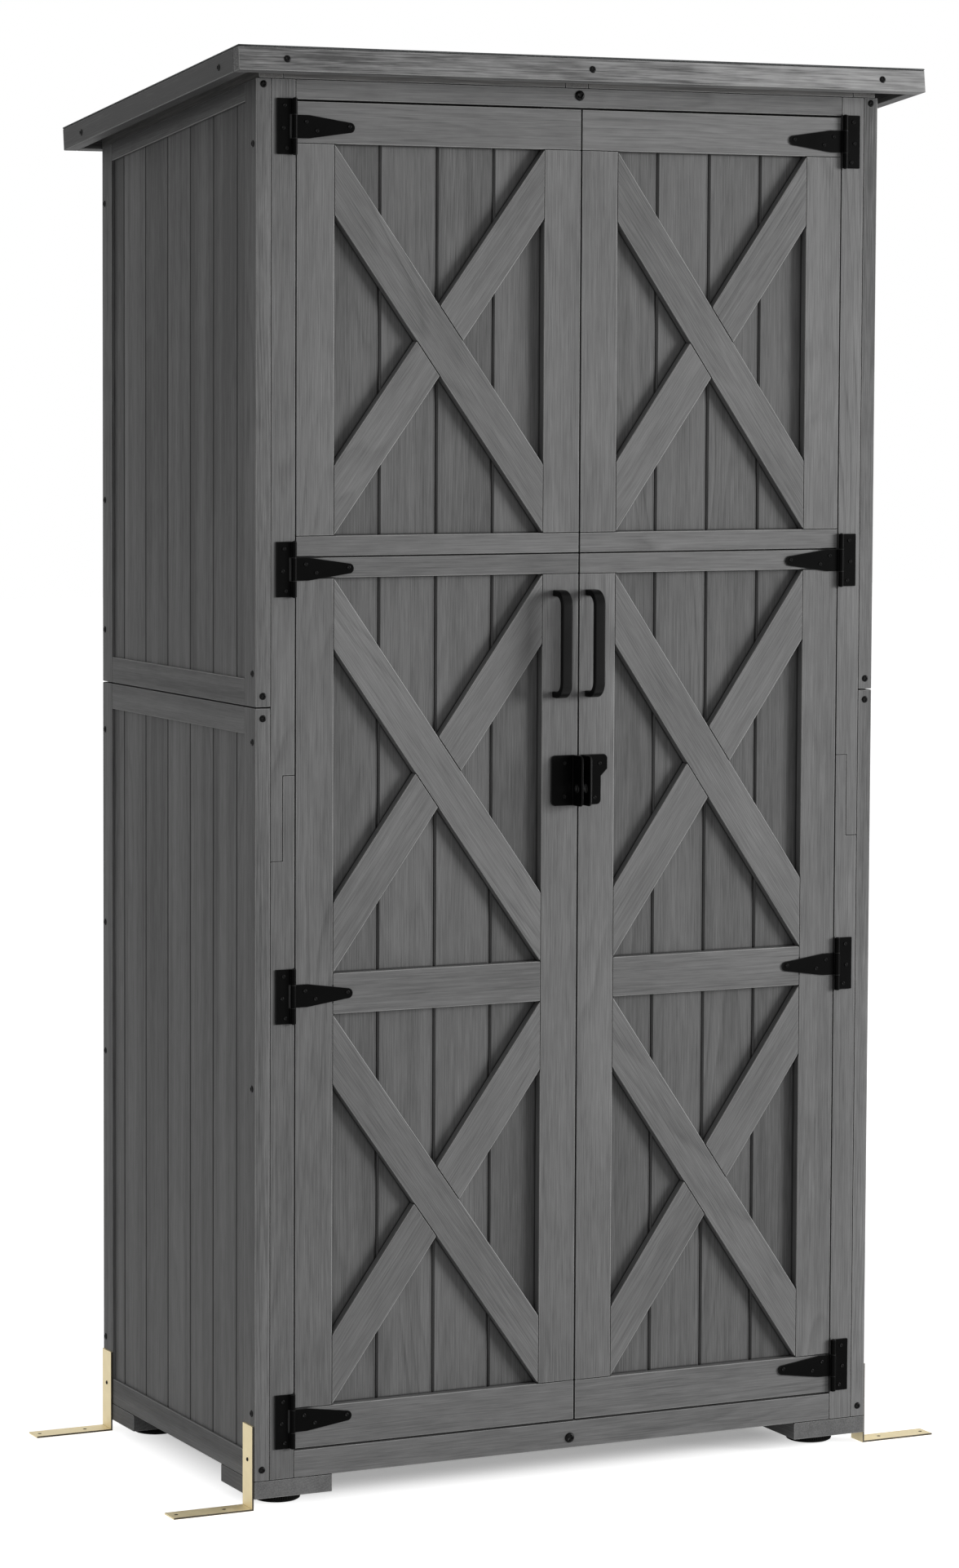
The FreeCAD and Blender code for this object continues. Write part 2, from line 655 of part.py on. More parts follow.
def hinge_plate():
    """Hinge plate: two knuckles with the pin fast in them, and a slot between them for the strap."""
    body = new_body("HingePlate")
    sketch = new_sketch(body, "XZ_Plane", "-leaf_back")
    half_height = "plate_height / 2"
    slot = "(strap_root / 2 + knuckle_gap)"
    slot_x = "-barrel_radius - plate_slit"
    flat_x = "plate_corner - plate_reach"
    side_z = f"({half_height} - plate_corner)"
    draw_outline(sketch, (("0", half_height), (flat_x, half_height), ("-plate_reach", side_z),
                          ("-plate_reach", f"-{side_z}"), (flat_x, f"-{half_height}"),
                          ("0", f"-{half_height}"), ("0", f"-{slot}"), (slot_x, f"-{slot}"),
                          (slot_x, slot), ("0", slot)))
    pad(body, sketch, "leaf_metal")
    knuckle(body, f"-{half_height}", f"-{slot}", "barrel_radius")
    knuckle(body, slot, half_height, "barrel_radius")
    knuckle(body, f"-{slot}", slot, "pin_radius")
    return body


def hinge_heights():
    """Four hinges on a door: bottom rail, middle rail, top of the lower leaf, and top rail."""
    return ("door_bottom_z + bottom_hinge_rise", "middle_rail_z + door_stile / 2",
            "leaf_top_z - strap_root / 2", "door_top_z - top_hinge_drop")


def hinges():
    """Straps on the doors, and plates with their pins on the jambs."""
    strap_source, plate_source = strap(), hinge_plate()
    straps, plates = [], []
    for index, height in enumerate(hinge_heights()):
        straps.append(copy_at(f"Strap_{index}", strap_source, "pin_x", "pin_y", height))
        plates.append(copy_at(f"Plate_{index}", plate_source, "pin_x", "pin_y", height))
    mirrored("right_hinge_straps", node("left_hinge_straps", straps))
    both_sides("hinge_plates", plates)


def both_sides(label, pieces):
    """One sub-part with its left-hand pieces and their mirror images."""
    left = doc.addObject("Part::Compound", f"Left_{label}")
    left.Links = pieces
    right = doc.addObject("Part::Mirroring", f"Right_{label}")
    right.Source = left
    right.Normal = Vector(1, 0, 0)
    return node(label, [left, right])


# Door furniture
def handle():
    """Door pulls: a flat bar bent out from the door and back, in the upright plane."""
    half_length = "handle_length / 2"
    inner = "(handle_length / 2 - handle_bar)"
    bend, inner_bend = "handle_bend", "(handle_bend - handle_bar)"
    reach, inner_reach = "handle_reach", "(handle_reach - handle_bar)"
    share = ARC_MIDDLE
    source = plate("Handle", "YZ_Plane", (
        ("0", f"-{half_length}"), ("0", f"-{inner}"),
        (f"{inner_bend} - {inner_reach}", f"-{inner}",
         f"{inner_bend} * {share} - {inner_reach}", f"{inner_bend} * {share} - {inner}"),
        (f"-{inner_reach}", f"{inner_bend} - {inner}"),
        (f"-{inner_reach}", f"{inner} - {inner_bend}",
         f"{inner_bend} * {share} - {inner_reach}", f"{inner} - {inner_bend} * {share}"),
        (f"{inner_bend} - {inner_reach}", inner), ("0", inner), ("0", half_length),
        (f"{bend} - {reach}", half_length,
         f"{bend} * {share} - {reach}", f"{half_length} - {bend} * {share}"),
        (f"-{reach}", f"{half_length} - {bend}"),
        (f"-{reach}", f"{bend} - {half_length}",
         f"{bend} * {share} - {reach}", f"{bend} * {share} - {half_length}"),
        (f"{bend} - {reach}", f"-{half_length}"),
    ), "handle_width", centred=True)
    for side, x in (("left", "meeting_x - handle_left"), ("right", "meeting_x + handle_right")):
        node(f"{side}_handle", [copy_at(f"Handle_{side}", source, x, "front_y", "handle_z")])


def padlock_eye(side):
    """Padlock eye: a plate with an ear bent out along the meeting edge, holed for a shackle."""
    tab = side == "right"
    body = new_body(f"Eye_{side}")
    corner, share = "eye_corner", ARC_MIDDLE
    width, tall = f"eye_width_{side}", "eye_height"
    outline = [("0", "0"), (f"{width} - {corner}", "0", f"{width} - {corner} * {share}",
                            f"{corner} * {share}"), (width, corner)]
    if tab:
        wide = f"({width} + eye_tab)"
        outline += [(width, "eye_tab_rise"), (wide, "eye_tab_rise + eye_tab"),
                    (wide, f"{tall} - {corner}", f"{wide} - {corner} * {share}",
                     f"{tall} - {corner} * {share}"), (f"{wide} - {corner}", tall), ("0", tall)]
    else:
        outline += [(width, f"{tall} - {corner}", f"{width} - {corner} * {share}",
                     f"{tall} - {corner} * {share}"), (f"{width} - {corner}", tall), ("0", tall)]
    flat = new_sketch(body, "XZ_Plane")
    draw_outline(flat, outline)
    pad(body, flat, "eye_metal")
    ear = new_sketch(body, "YZ_Plane")
    reach = "eye_reach"
    draw_outline(ear, (
        ("0", "0"), ("0", tall),
        (f"{corner} - {reach}", tall, f"{corner} * {share} - {reach}", f"{tall} - {corner} * {share}"),
        (f"-{reach}", f"{tall} - {corner}"),
        (f"-{reach}", corner, f"{corner} * {share} - {reach}", f"{corner} * {share}"),
        (f"{corner} - {reach}", "0")))
    pad(body, ear, "eye_metal")
    hole = new_sketch(body, "YZ_Plane")
    draw_circle(hole, "-eye_hole_out", "eye_hole_rise", "eye_hole_radius")
    cut_hole = body.newObject("PartDesign::Pocket", f"{body.Name}_EyeHole")
    cut_hole.Profile = hole
    cut_hole.setExpression("Length", bound("eye_metal"))
    cut_hole.Reversed = True
    return body


def padlock_eyes():
    """The pair of eyes on the meeting stiles."""
    right = padlock_eye("right")
    place(right, "meeting_x + eye_right", "front_y", "eye_z")
    left = padlock_eye("left")
    mirror = doc.addObject("Part::Mirroring", "Eye_left_turned")
    mirror.Source = left
    mirror.Normal = Vector(1, 0, 0)
    place(mirror, "meeting_x - eye_left", "front_y", "eye_z")
    node("left_padlock_eye", [mirror])
    node("right_padlock_eye", [right])


def mending_plates():
    """Flat plates across the joint between a door's leaves, behind each stile."""
    for side in ("left", "right"):
        centres = (f"{side}_door_start + door_stile / 2", f"{side}_door_end - door_stile / 2")
        node(f"{side}_mending_plates", [
            block(f"Mending_{side}_{index}", f"{x} - mending_width / 2", "door_back_y",
                  "leaf_top_z - mending_length / 2", "mending_width", "mending_metal", "mending_length")
            for index, x in enumerate(centres)])


# Base
def base():
    """Foot pads, foot blocks, floor bearers and floor boards."""
    blocks, pads = [], []
    for side, x in (("Left", "-half"), ("Right", "half - foot_block_length")):
        for end, y in (("Front", "front_y"), ("Rear", "rear_y - foot_block_depth")):
            blocks.append(block(f"FootBlock_{side}{end}", x, y, "foot_pad_height", "foot_block_length",
                                "foot_block_depth", "foot_block_height"))
            disc = doc.addObject("Part::Cylinder", f"FootPad_{side}{end}")
            disc.setExpression("Radius", bound("foot_pad_radius"))
            disc.setExpression("Height", bound("foot_pad_height"))
            place(disc, f"{x} + foot_block_length / 2", f"{y} + foot_block_depth / 2", "0")
            pads.append(disc)
    node("foot_pads", pads)
    node("foot_blocks", blocks)
    inner_y = "(front_y + front_depth)"
    span = f"(back_y - {inner_y})"
    bearers = [block(f"Bearer_{index}", "-inner_half", f"{inner_y} + ({span} - bearer_width) * {share}",
                     "bearer_z", "2 * inner_half", "bearer_width", "bearer_height")
               for index, share in enumerate((0, 0.5, 1))]
    node("floor_bearers", bearers)
    total = count("2 * inner_half", "floor_pitch")
    boards = [block(f"FloorBoard_{index}", f"-inner_half + {index} * 2 * inner_half / {total}", inner_y,
                    "floor_z - floor_thickness", f"2 * inner_half / {total}", span, "floor_thickness")
              for index in range(total)]
    node("floor_boards", boards)


def ground_bracket():
    """Ground bracket: a strip bent to a right angle, with two holes for the ground."""
    metal = "bracket_metal"
    body = plate("GroundBracket", "XZ_Plane", (
        ("0", "0"), ("0", "bracket_up"), (f"-{metal}", "bracket_up"), (f"-{metal}", metal),
        ("-bracket_out", metal), ("-bracket_out", "0")), "bracket_width", centred=True)
    ground_holes = new_sketch(body, "XY_Plane")
    for x in ("bracket_hole_near", "bracket_hole_far"):
        draw_circle(ground_holes, f"-{x}", "0", "bracket_hole_radius")
    pocket_through(body, ground_holes)
    return body


def ground_brackets():
    """Four brackets outside the corners."""
    source = ground_bracket()
    edge = "(bracket_inset + bracket_width / 2)"
    spots = (f"front_y + {edge}", f"rear_y - {edge}")
    both_sides("ground_brackets", [copy_at(f"Bracket_{index}", source, "-half", y, "0")
                                   for index, y in enumerate(spots)])


# Shelves
def shelves():
    """Three slatted shelves on battens."""
    batten_y = "front_y + front_depth"
    rear_batten_y = "back_y - batten_width"
    shelf_y = "front_y + shelf_front"
    run = f"(back_y - ({shelf_y}))"
    total = int((number(run) + number("slat_gap")) // number("slat_width + slat_gap"))
    pitch = f"(({run} - slat_width) / {total - 1})"
    sides, battens = [], []
    for index, name in enumerate(("lower", "middle", "upper"), start=1):
        top = f"(floor_z + {index} * shelf_rise)"
        batten_z = f"{top} - shelf_thickness - batten_height"
        sides.append(block(f"SideBatten_{name}", "-inner_half", batten_y, batten_z, "batten_width",
                           f"back_y - ({batten_y})", "batten_height"))
        battens.append(block(f"RearBatten_{name}", "batten_width - inner_half", rear_batten_y, batten_z,
                             "2 * (inner_half - batten_width)", "batten_width", "batten_height"))
        node(f"{name}_shelf", [
            block(f"Slat_{name}_{slat}", "shelf_play - inner_half", f"{shelf_y} + {slat} * {pitch}",
                  f"{top} - shelf_thickness", "2 * (inner_half - shelf_play)", "slat_width",
                  "shelf_thickness") for slat in range(total)])
    both_sides("shelf_battens", sides).Links += battens


# Roof
def lift_roof(item):
    """Tilt a flat-drawn roof piece to the slope, its lower front edge at the roof's front."""
    turn(item, Vector(-1, 0, 0), 1)
    item.setExpression("Placement.Rotation.Angle", bound("roof_slope"))
    place(item, "0", "-roof_plan / 2", "eave_z")


def roof():
    """One flat panel of rafters, noggins, boards, felt and fascias, drawn flat and then tilted."""
    half_width = "roof_width / 2"
    edge = "fascia_thickness"
    edge_height = "rafter_height + deck_thickness"
    inner_x = f"({half_width} - {edge})"
    inside = f"(roof_length - 2 * {edge})"
    front_wall = "(front_overhang / cos(roof_slope))"
    rear_bar = "((front_overhang + body_depth - side_thickness) / cos(roof_slope) - rafter_width)"
    rafters = [block(f"Rafter_{index}", f"{x} - rafter_width / 2", front_wall, "0", "rafter_width",
                     f"roof_length - {edge} - {front_wall}", "rafter_height")
               for index, x in enumerate(("-inner_half", "0", "inner_half"))]
    noggins = []
    for end, y in (("Front", front_wall), ("Rear", rear_bar)):
        noggins += [block(f"Noggin_{end}{index}", x, y, "0", "inner_half - rafter_width", "rafter_width",
                          "rafter_height")
                    for index, x in enumerate(("rafter_width / 2 - inner_half", "rafter_width / 2"))]
    total = count(inside, "deck_pitch")
    deck = [block(f"Deck_{index}", f"-{inner_x}", f"{edge} + {index} * {inside} / {total}",
                  "rafter_height", f"2 * {inner_x}", f"{inside} / {total}", "deck_thickness")
            for index in range(total)]
    front = block("FrontFascia", f"-{half_width}", "0", "0", "roof_width", edge, edge_height)
    side_length = f"roof_length - {edge}"
    others = [block("LeftFascia", f"-{half_width}", edge, "0", edge, side_length, edge_height),
              block("RightFascia", inner_x, edge, "0", edge, side_length, edge_height),
              block("RearFascia", f"-{inner_x}", f"roof_length - {edge}", "0", f"2 * {inner_x}", edge,
                    edge_height)]
    felt = block("Felt", f"-{half_width}", "0", edge_height, "roof_width", "roof_length",
                 "felt_thickness")
    for label, pieces in (("roof_rafters", rafters), ("roof_noggins", noggins),
                          ("roof_deck_boards", deck), ("roof_front_fascia", [front]),
                          ("roof_edge_fascias", others), ("roof_felt", [felt])):
        lift_roof(node(label, pieces))


def check_and_write():
    """Stop at any failed object or bad shape, then write one file for each sub-part."""
    doc.recompute()
    failed = [item.Name for item in doc.Objects if {"Invalid", "Error"} & set(item.State)]
    if failed:
        raise RuntimeError(f"objects failed: {failed}")
    for item in NODES:
        if item.Shape.isNull() or not item.Shape.isValid():
            raise RuntimeError(f"bad shape: {item.Label}")
    os.makedirs("parts", exist_ok=True)
    for item in NODES:
        item.Shape.exportStep(f"parts/{item.Label}.step")
        print(item.Label, len(item.Shape.Solids))


write_sheet()
ROOF_LINE = above_roof_line("RoofLine")
for wall_level in ("lower", "upper"):
    side_panel(wall_level)
    back_panel(wall_level)
    leaf("left", wall_level)
    leaf("right", wall_level)
jambs()
sill_and_header()
hinges()
handle()
padlock_eyes()
mending_plates()
base()
ground_brackets()
shelves()
roof()
check_and_write()
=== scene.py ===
"""Looks of a tall garden storage cabinet: stained timber, black metalwork and a felted roof."""
import json
import math

import bpy
import numpy as np
from bpy.props import FloatProperty, FloatVectorProperty, IntProperty, PointerProperty
from mathutils import Matrix, Vector


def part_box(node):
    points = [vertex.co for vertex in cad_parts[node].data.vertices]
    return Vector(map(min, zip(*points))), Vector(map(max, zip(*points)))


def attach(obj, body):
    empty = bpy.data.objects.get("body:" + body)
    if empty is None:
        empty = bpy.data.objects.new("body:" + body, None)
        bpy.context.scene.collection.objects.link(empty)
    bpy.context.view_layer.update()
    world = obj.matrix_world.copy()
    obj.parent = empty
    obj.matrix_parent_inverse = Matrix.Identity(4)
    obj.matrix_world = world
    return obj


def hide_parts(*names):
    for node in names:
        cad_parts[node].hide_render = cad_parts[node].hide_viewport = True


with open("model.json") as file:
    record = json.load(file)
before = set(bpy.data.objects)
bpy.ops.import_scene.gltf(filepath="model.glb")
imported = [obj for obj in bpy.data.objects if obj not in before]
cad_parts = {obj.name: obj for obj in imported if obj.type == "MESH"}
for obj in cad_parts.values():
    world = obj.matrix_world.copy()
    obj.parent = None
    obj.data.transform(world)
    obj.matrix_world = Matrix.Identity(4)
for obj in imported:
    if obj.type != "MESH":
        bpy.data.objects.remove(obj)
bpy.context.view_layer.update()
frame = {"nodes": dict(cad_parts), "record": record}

bl_info = {
    "name": "Garden storage cabinet",
    "version": (1, 0, 0),
    "blender": (4, 5, 0),
    "location": "3D View > Sidebar > Cabinet",
    "description": "Builds the timber, metalwork and stage of a garden storage cabinet",
    "category": "Object",
}

MM, MICRON = 1e-3, 1e-6
UP, FRONT, REAR, LEFT, RIGHT = (0, 0, 1), (0, -1, 0), (0, 1, 0), (-1, 0, 0), (1, 0, 0)
BODY_OF = {node: body for body, nodes in frame["record"]["behaviour"]["bodies"].items()
           for node in nodes}

# The CAD model's own sizes, in millimetres
HINGE_SHEET, EYE_SHEET, BRACKET_STRIP = 1.8, 2.0, 2.2
HINGE_HEIGHT, JOINING_PLATE_WIDTH, BRACKET_WIDTH = 67, 24, 30
PAD_RADIUS, FASCIA_THICKNESS = 30, 18
ROOF_SLOPE = math.radians(7.2)

# Screws' places in millimetres: x from a left hinge's pin and z from the middle of its height
PLATE_SCREWS = ((-12.5, 25), (-14.3, -2), (-10, -26))
STRAP_SCREWS = ((16, 6), (30, -4.5), (73, 1.5))
# x and z on the doors, the left jamb, and the sill and header
EYE_SCREWS = {"left": ((-12.5, 901.6), (-12.5, 860)), "right": ((36.2, 899.9), (29.3, 857.3))}
JAMB_SCREWS = ((-420.1, 1729), (-420.1, 996), (-420.1, 969), (-420.1, 50))
SILL_AND_HEADER_BOLTS = ((4, 1727), (1, 49))
# y and z on the left wall and on the roof's left edge
WALL_SCREWS = ((-235.1, 1658), (-235.1, 1023), (-235.1, 940), (-235.1, 518), (-235.1, 119),
               (252.4, 1600), (252.4, 1218), (252.4, 1050), (252.4, 920), (252.4, 668),
               (252.4, 499), (252.4, 120.5))
ROOF_EDGE_SCREWS = ((-229.4, 1747.5), (225.8, 1689.4))
# x on the front fascia, and how far up its face
FASCIA_SCREWS, FASCIA_SCREW_RISE = (-409.2, -2, 409.5), 14.5
# From a pull's or a joining plate's middle up and down to its screws, and a bracket screw's height
PULL_SCREW_RISE, JOINING_SCREW_RISE, BRACKET_SCREW_HEIGHT = 63, 33.6, 61

# Turned heads, from the middle to the seat: shares of the radius and of the height
PAN_ROWS = ((0, 0.9), (0.2, 0.9), (0.55, 0.85), (0.66, 0.8), (0.9, 0.5), (1, 0), (1, -0.1))
FLAT_ROWS = ((0, 0.8), (0.2, 0.8), (0.6, 0.85), (0.7, 1), (0.86, 0.8), (1, 0), (1, -0.1))
DOME_ROWS = ((0, 1), (0.45, 0.88), (0.8, 0.55), (1, 0), (1, -0.1))
# A pad from its sole up: shares of the radius and of the height, and 1 where it is ribbed
PAD_ROWS = ((0, 0, 0), (0.8, 0, 0), (0.9, 0.02, 0), (0.965, 0.1, 0), (0.985, 0.22, 0),
            (0.985, 0.26, 1), (1, 0.3, 1), (1, 0.8, 1), (0.985, 0.85, 1), (0.985, 0.88, 0),
            (0.985, 0.96, 0), (0.97, 1, 0))
# Arms of a cross recess, in shares of the head's radius: their reach, and the flat middle
CROSS_REACH, CROSS_MIDDLE = 0.6, 0.2
RIB_DEPTH, NAIL_SUNK = 0.9 * MM, 0.6 * MM
# The felt's two slow waves: how deep, and each one's radians per metre across and down the roof
FELT_WAVE, FELT_WAVES = 0.5 * MM, ((19, 27), (47, 39))

# Where a board comes from in its log, in metres: along it, sideways, and out from the heart
LOG_NEAR, LOG_FAR = (0, -0.04, 0.015), (8, 0.04, 0.11)
# How thin the stain lies, from 0 to 1, with painted light and shade in it: along the front fascia,
# lighter towards its right end as painted light; by height in metres on the walls, darker towards
# the roof as painted shade; and how far a wall's boards differ
FASCIA_PAINTED_LIGHT = (0.1, 0.57)
WALL_HEIGHTS, WALL_PAINTED_SHADE = (0.3, 1.5, 1.65, 1.75), (0.66, 0.28, 0.2, 0.08)
BOARD_TO_BOARD = 0.3

# Faces that meet flatter than FLAT_WITHIN are one, and edges sharper than SHARP_FROM are eased
FLAT_WITHIN, SHARP_FROM = math.radians(0.5), math.radians(25)
# Two directions are the same when the cosine between them is over SAME_WAY. A bracket's face is
# sheared when more than SHEARED_WAY of its direction is along y; this takes in the walls of its
# holes too, so that their dark cut edge colour is painted shade. A seat faces up or down when
# more than UPRIGHT of its direction is along z
SAME_WAY, SHEARED_WAY, UPRIGHT = 0.999, 0.15, 0.9
# A sum that is closer to zero than this is zero
ROUNDING = 1e-9
# Material slots of a timber or metal piece, beside 0 for its faces
EDGE_SLOT, GROOVE_SLOT = 1, 2

# Stage, in metres and degrees. The floor lies just under the pads
FLOOR_HALF, FLOOR_LEVEL = 20.0, -0.3 * MM
GLOW_INSET, GLOW_REACH, GLOW = 0.11, 0.13, 0.86
LAMP_WIDTH, LAMP_PLACE, LAMP_AIM = 3.2, (7.6, -5.0, 1.95), (0, 0, 0.9)
CAMERA_PLACE, CAMERA_SHIFT = (-2.6303, -5.39369, 1.4031), -0.0569
CAMERA_TURN, CAMERA_DROP, CAMERA_TILT = 25.901, 4.128, 0.261


def linear(code):
    """sRGB hex to linear: c/12.92 up to 0.04045, else ((c + 0.055)/1.055) to the power 2.4."""
    channels = np.array([int(code[place:place + 2], 16) for place in (1, 3, 5)]) / 255
    line = np.where(channels <= 0.04045, channels / 12.92, ((channels + 0.055) / 1.055) ** 2.4)
    return (*line.tolist(), 1.0)


def colour(name, description, code):
    """A colour property with its default given as sRGB hex."""
    return FloatVectorProperty(name=name, description=description, subtype="COLOR", size=4,
                               min=0, max=1, default=linear(code))


def length(name, description, millimetres):
    """A length property in metres with its default given in millimetres."""
    return FloatProperty(name=name, description=description, default=millimetres * MM, min=0,
                         unit="LENGTH", precision=4)


# Sizes and colours that a user would change
class TimberSettings(bpy.types.PropertyGroup):
    light: colour("Light stain", "Stain where it lies thin", "#868686")
    dark: colour("Dark stain", "Stain gathered in soft grain", "#464646")
    # Paler eased edges: stain thinned by wear, and a painted highlight where light catches them
    worn_and_highlit: colour("Edge stain and highlight", "Thin stain and a painted highlight along edges", "#aeaead")
    # Painted light: the front fascia is drawn lighter, most towards its right end
    faded: colour("Fascia stain with painted light", "Stain on the roof's front edge, with painted light towards its right end", "#b8b8b8")
    # Dirt, and painted shade, in seams, grooves and inner corners
    seam: colour("Seam", "Stain and dirt, with painted shade, in seams and grooves", "#1e1e1e")
    inside: colour("Inside stain", "Thinner stain on shelves and floor", "#858482")
    edge: length("Eased edge", "Width of the worn edge on every piece of timber", 1.0)
    ring: length("Ring spacing", "Between the tree's yearly rings", 4.2)
    panel: colour("Board stain", "Stain on the boards inside the frames, where thin", "#747474")
    seed: IntProperty(name="Seed", description="Which boards come out of the stack",
                      default=7, min=0)


class MetalSettings(bpy.types.PropertyGroup):
    black: colour("Black coat", "Powder coat on hinges, pulls and eyes", "#070707")
    # Paler edges: coat thinned by wear, and a painted highlight along the arrises
    rubbed_and_highlit: colour("Rubbed black", "Thinned black coat and painted highlight on the edges of hinges and eyes", "#1f1f1f")
    zinc: colour("Zinc", "Zinc plating of the joining plates and their screws", "#a9acad")
    zinc_cloud: colour("Zinc clouds", "Darker clouds in the joining plates' zinc", "#83878a")
    screw_cloud: colour("Screw clouds", "Darker clouds in the zinc of the screws", "#6f7376")
    yellow: colour("Yellow zinc", "Yellow passivated zinc of the ground brackets", "#f6e9c4")
    yellow_cloud: colour("Yellow clouds", "Darker clouds in the yellow zinc", "#e0d1a9")
    # Also painted shade on the walls of the bracket's holes
    cut: colour("Cut edge", "Edge of the bracket strip, sheared and darker, with painted shade in its holes", "#4a4130")
    cut_cloud: colour("Cut edge clouds", "Darker clouds in the cut edge", "#2a241a")
    nail: colour("Galvanised nails", "Dull zinc of the clout nails", "#8f9294")
    nail_cloud: colour("Nail clouds", "Darker clouds in the nails' zinc", "#5f6264")
    rubber: colour("Rubber", "Black rubber of the foot pads", "#090909")
    dust: colour("Dust", "Dust on the rubber", "#171716")
    edge: length("Eased edge", "Width of the rounded edge on sheet metal", 0.5)
    bar: length("Eased bar", "Width of the rounded edge on the bars of the pulls", 1.6)


class FeltSettings(bpy.types.PropertyGroup):
    bitumen: colour("Bitumen", "Where the felt's dark grains lie", "#2a2c2d")
    slate: colour("Slate", "Palest of the crushed slate", "#595b5b")
    inset: length("Nail inset", "From the felt's edge to the row of nails", 12)
    spacing: length("Nail spacing", "Between two nails along an edge", 75)


class ScrewSettings(bpy.types.PropertyGroup):
    small: length("Small head", "Head radius of hinge and eye screws", 2.6)
    frame: length("Frame head", "Head radius of the screws in frames and fascias", 4.4)
    bolt: length("Bolt head", "Head radius of the bolts in header and sill", 6.5)
    nail: length("Nail head", "Head radius of the clout nails in the felt", 5.0)
    pin: length("Pin head", "Radius of the domed ends of the hinge pins", 2.4)


class StageSettings(bpy.types.PropertyGroup):
    key: FloatProperty(name="Key light", description="Power of the large soft light",
                       default=720, min=0, unit="POWER")
    sky: FloatProperty(name="Even light", description="Strength of the light from all round",
                       default=0.34, min=0)
    lift: FloatProperty(name="Floor lift", description="Light added to the floor under the cabinet",
                        default=0.3, min=0)
    lens: FloatProperty(name="Lens", description="Focal length on a 36 mm tall sensor",
                        default=106.95, min=1, unit="CAMERA")
    floor: colour("Floor", "Paint of the floor that the camera sees", "#f4f4f4")
    shade: colour("Floor in its own light", "Paint of the floor that lights the cabinet", "#c4c4c4")


# Nodes and materials
def add(tree, kind, inputs=(), **settings):
    """Adds one node. inputs pairs a socket's name or number with its value or what feeds it."""
    item = tree.nodes.new(kind)
    for key, value in settings.items():
        setattr(item, key, value)
    for socket, value in inputs:
        if isinstance(value, bpy.types.NodeSocket):
            tree.links.new(value, item.inputs[socket])
        else:
            item.inputs[socket].default_value = value
    return item


def new_material(name):
    """An empty node material."""
    made = bpy.data.materials.new(name)
    made.use_nodes = True
    made.node_tree.nodes.clear()
    return made, made.node_tree


def finish_surface(tree, tints, polish, height, depth, sheen=0.5, **constants):
    """Shader and output.

    tints are a value and the two colours that it mixes, polish a value and the two roughnesses that
    it runs between. height (0 to 1) lifts the surface by up to depth metres.
    """
    base = add(tree, "ShaderNodeMix", zip(("Factor", 6, 7), tints), data_type="RGBA")
    rough = add(tree, "ShaderNodeMapRange", zip(("Value", "To Min", "To Max"), polish))
    bump = add(tree, "ShaderNodeBump", (("Strength", 1.0), ("Distance", depth), ("Height", height)))
    shader = add(tree, "ShaderNodeBsdfPrincipled", (
        ("Base Color", base.outputs[2]), ("Roughness", rough.outputs[0]),
        ("Specular IOR Level", sheen), ("Normal", bump.outputs[0]), *constants.items()))
    add(tree, "ShaderNodeOutputMaterial", (("Surface", shader.outputs[0]),))


def mottling(tree, coords, size_mm, detail=2.0, rough=0.5):
    """Soft mottling whose patches measure size_mm along x, y and z of coords, given in metres."""
    scaled = add(tree, "ShaderNodeVectorMath", (
        (0, coords), (1, tuple(1000 / size for size in size_mm))), operation="MULTIPLY")
    return add(tree, "ShaderNodeTexNoise", (("Vector", scaled.outputs[0]), ("Scale", 1.0),
                                            ("Detail", detail), ("Roughness", rough)))


def weigh(tree, terms, base=0.5):
    """base plus the sum of weight times (value - 0.5) over the terms, kept between 0 and 1."""
    total = base - sum(weight for _, weight in terms) / 2
    for value, weight in terms:
        total = add(tree, "ShaderNodeMath", ((0, value), (1, weight), (2, total)),
                    operation="MULTIPLY_ADD").outputs[0]
    return add(tree, "ShaderNodeClamp", ((0, total),)).outputs[0]


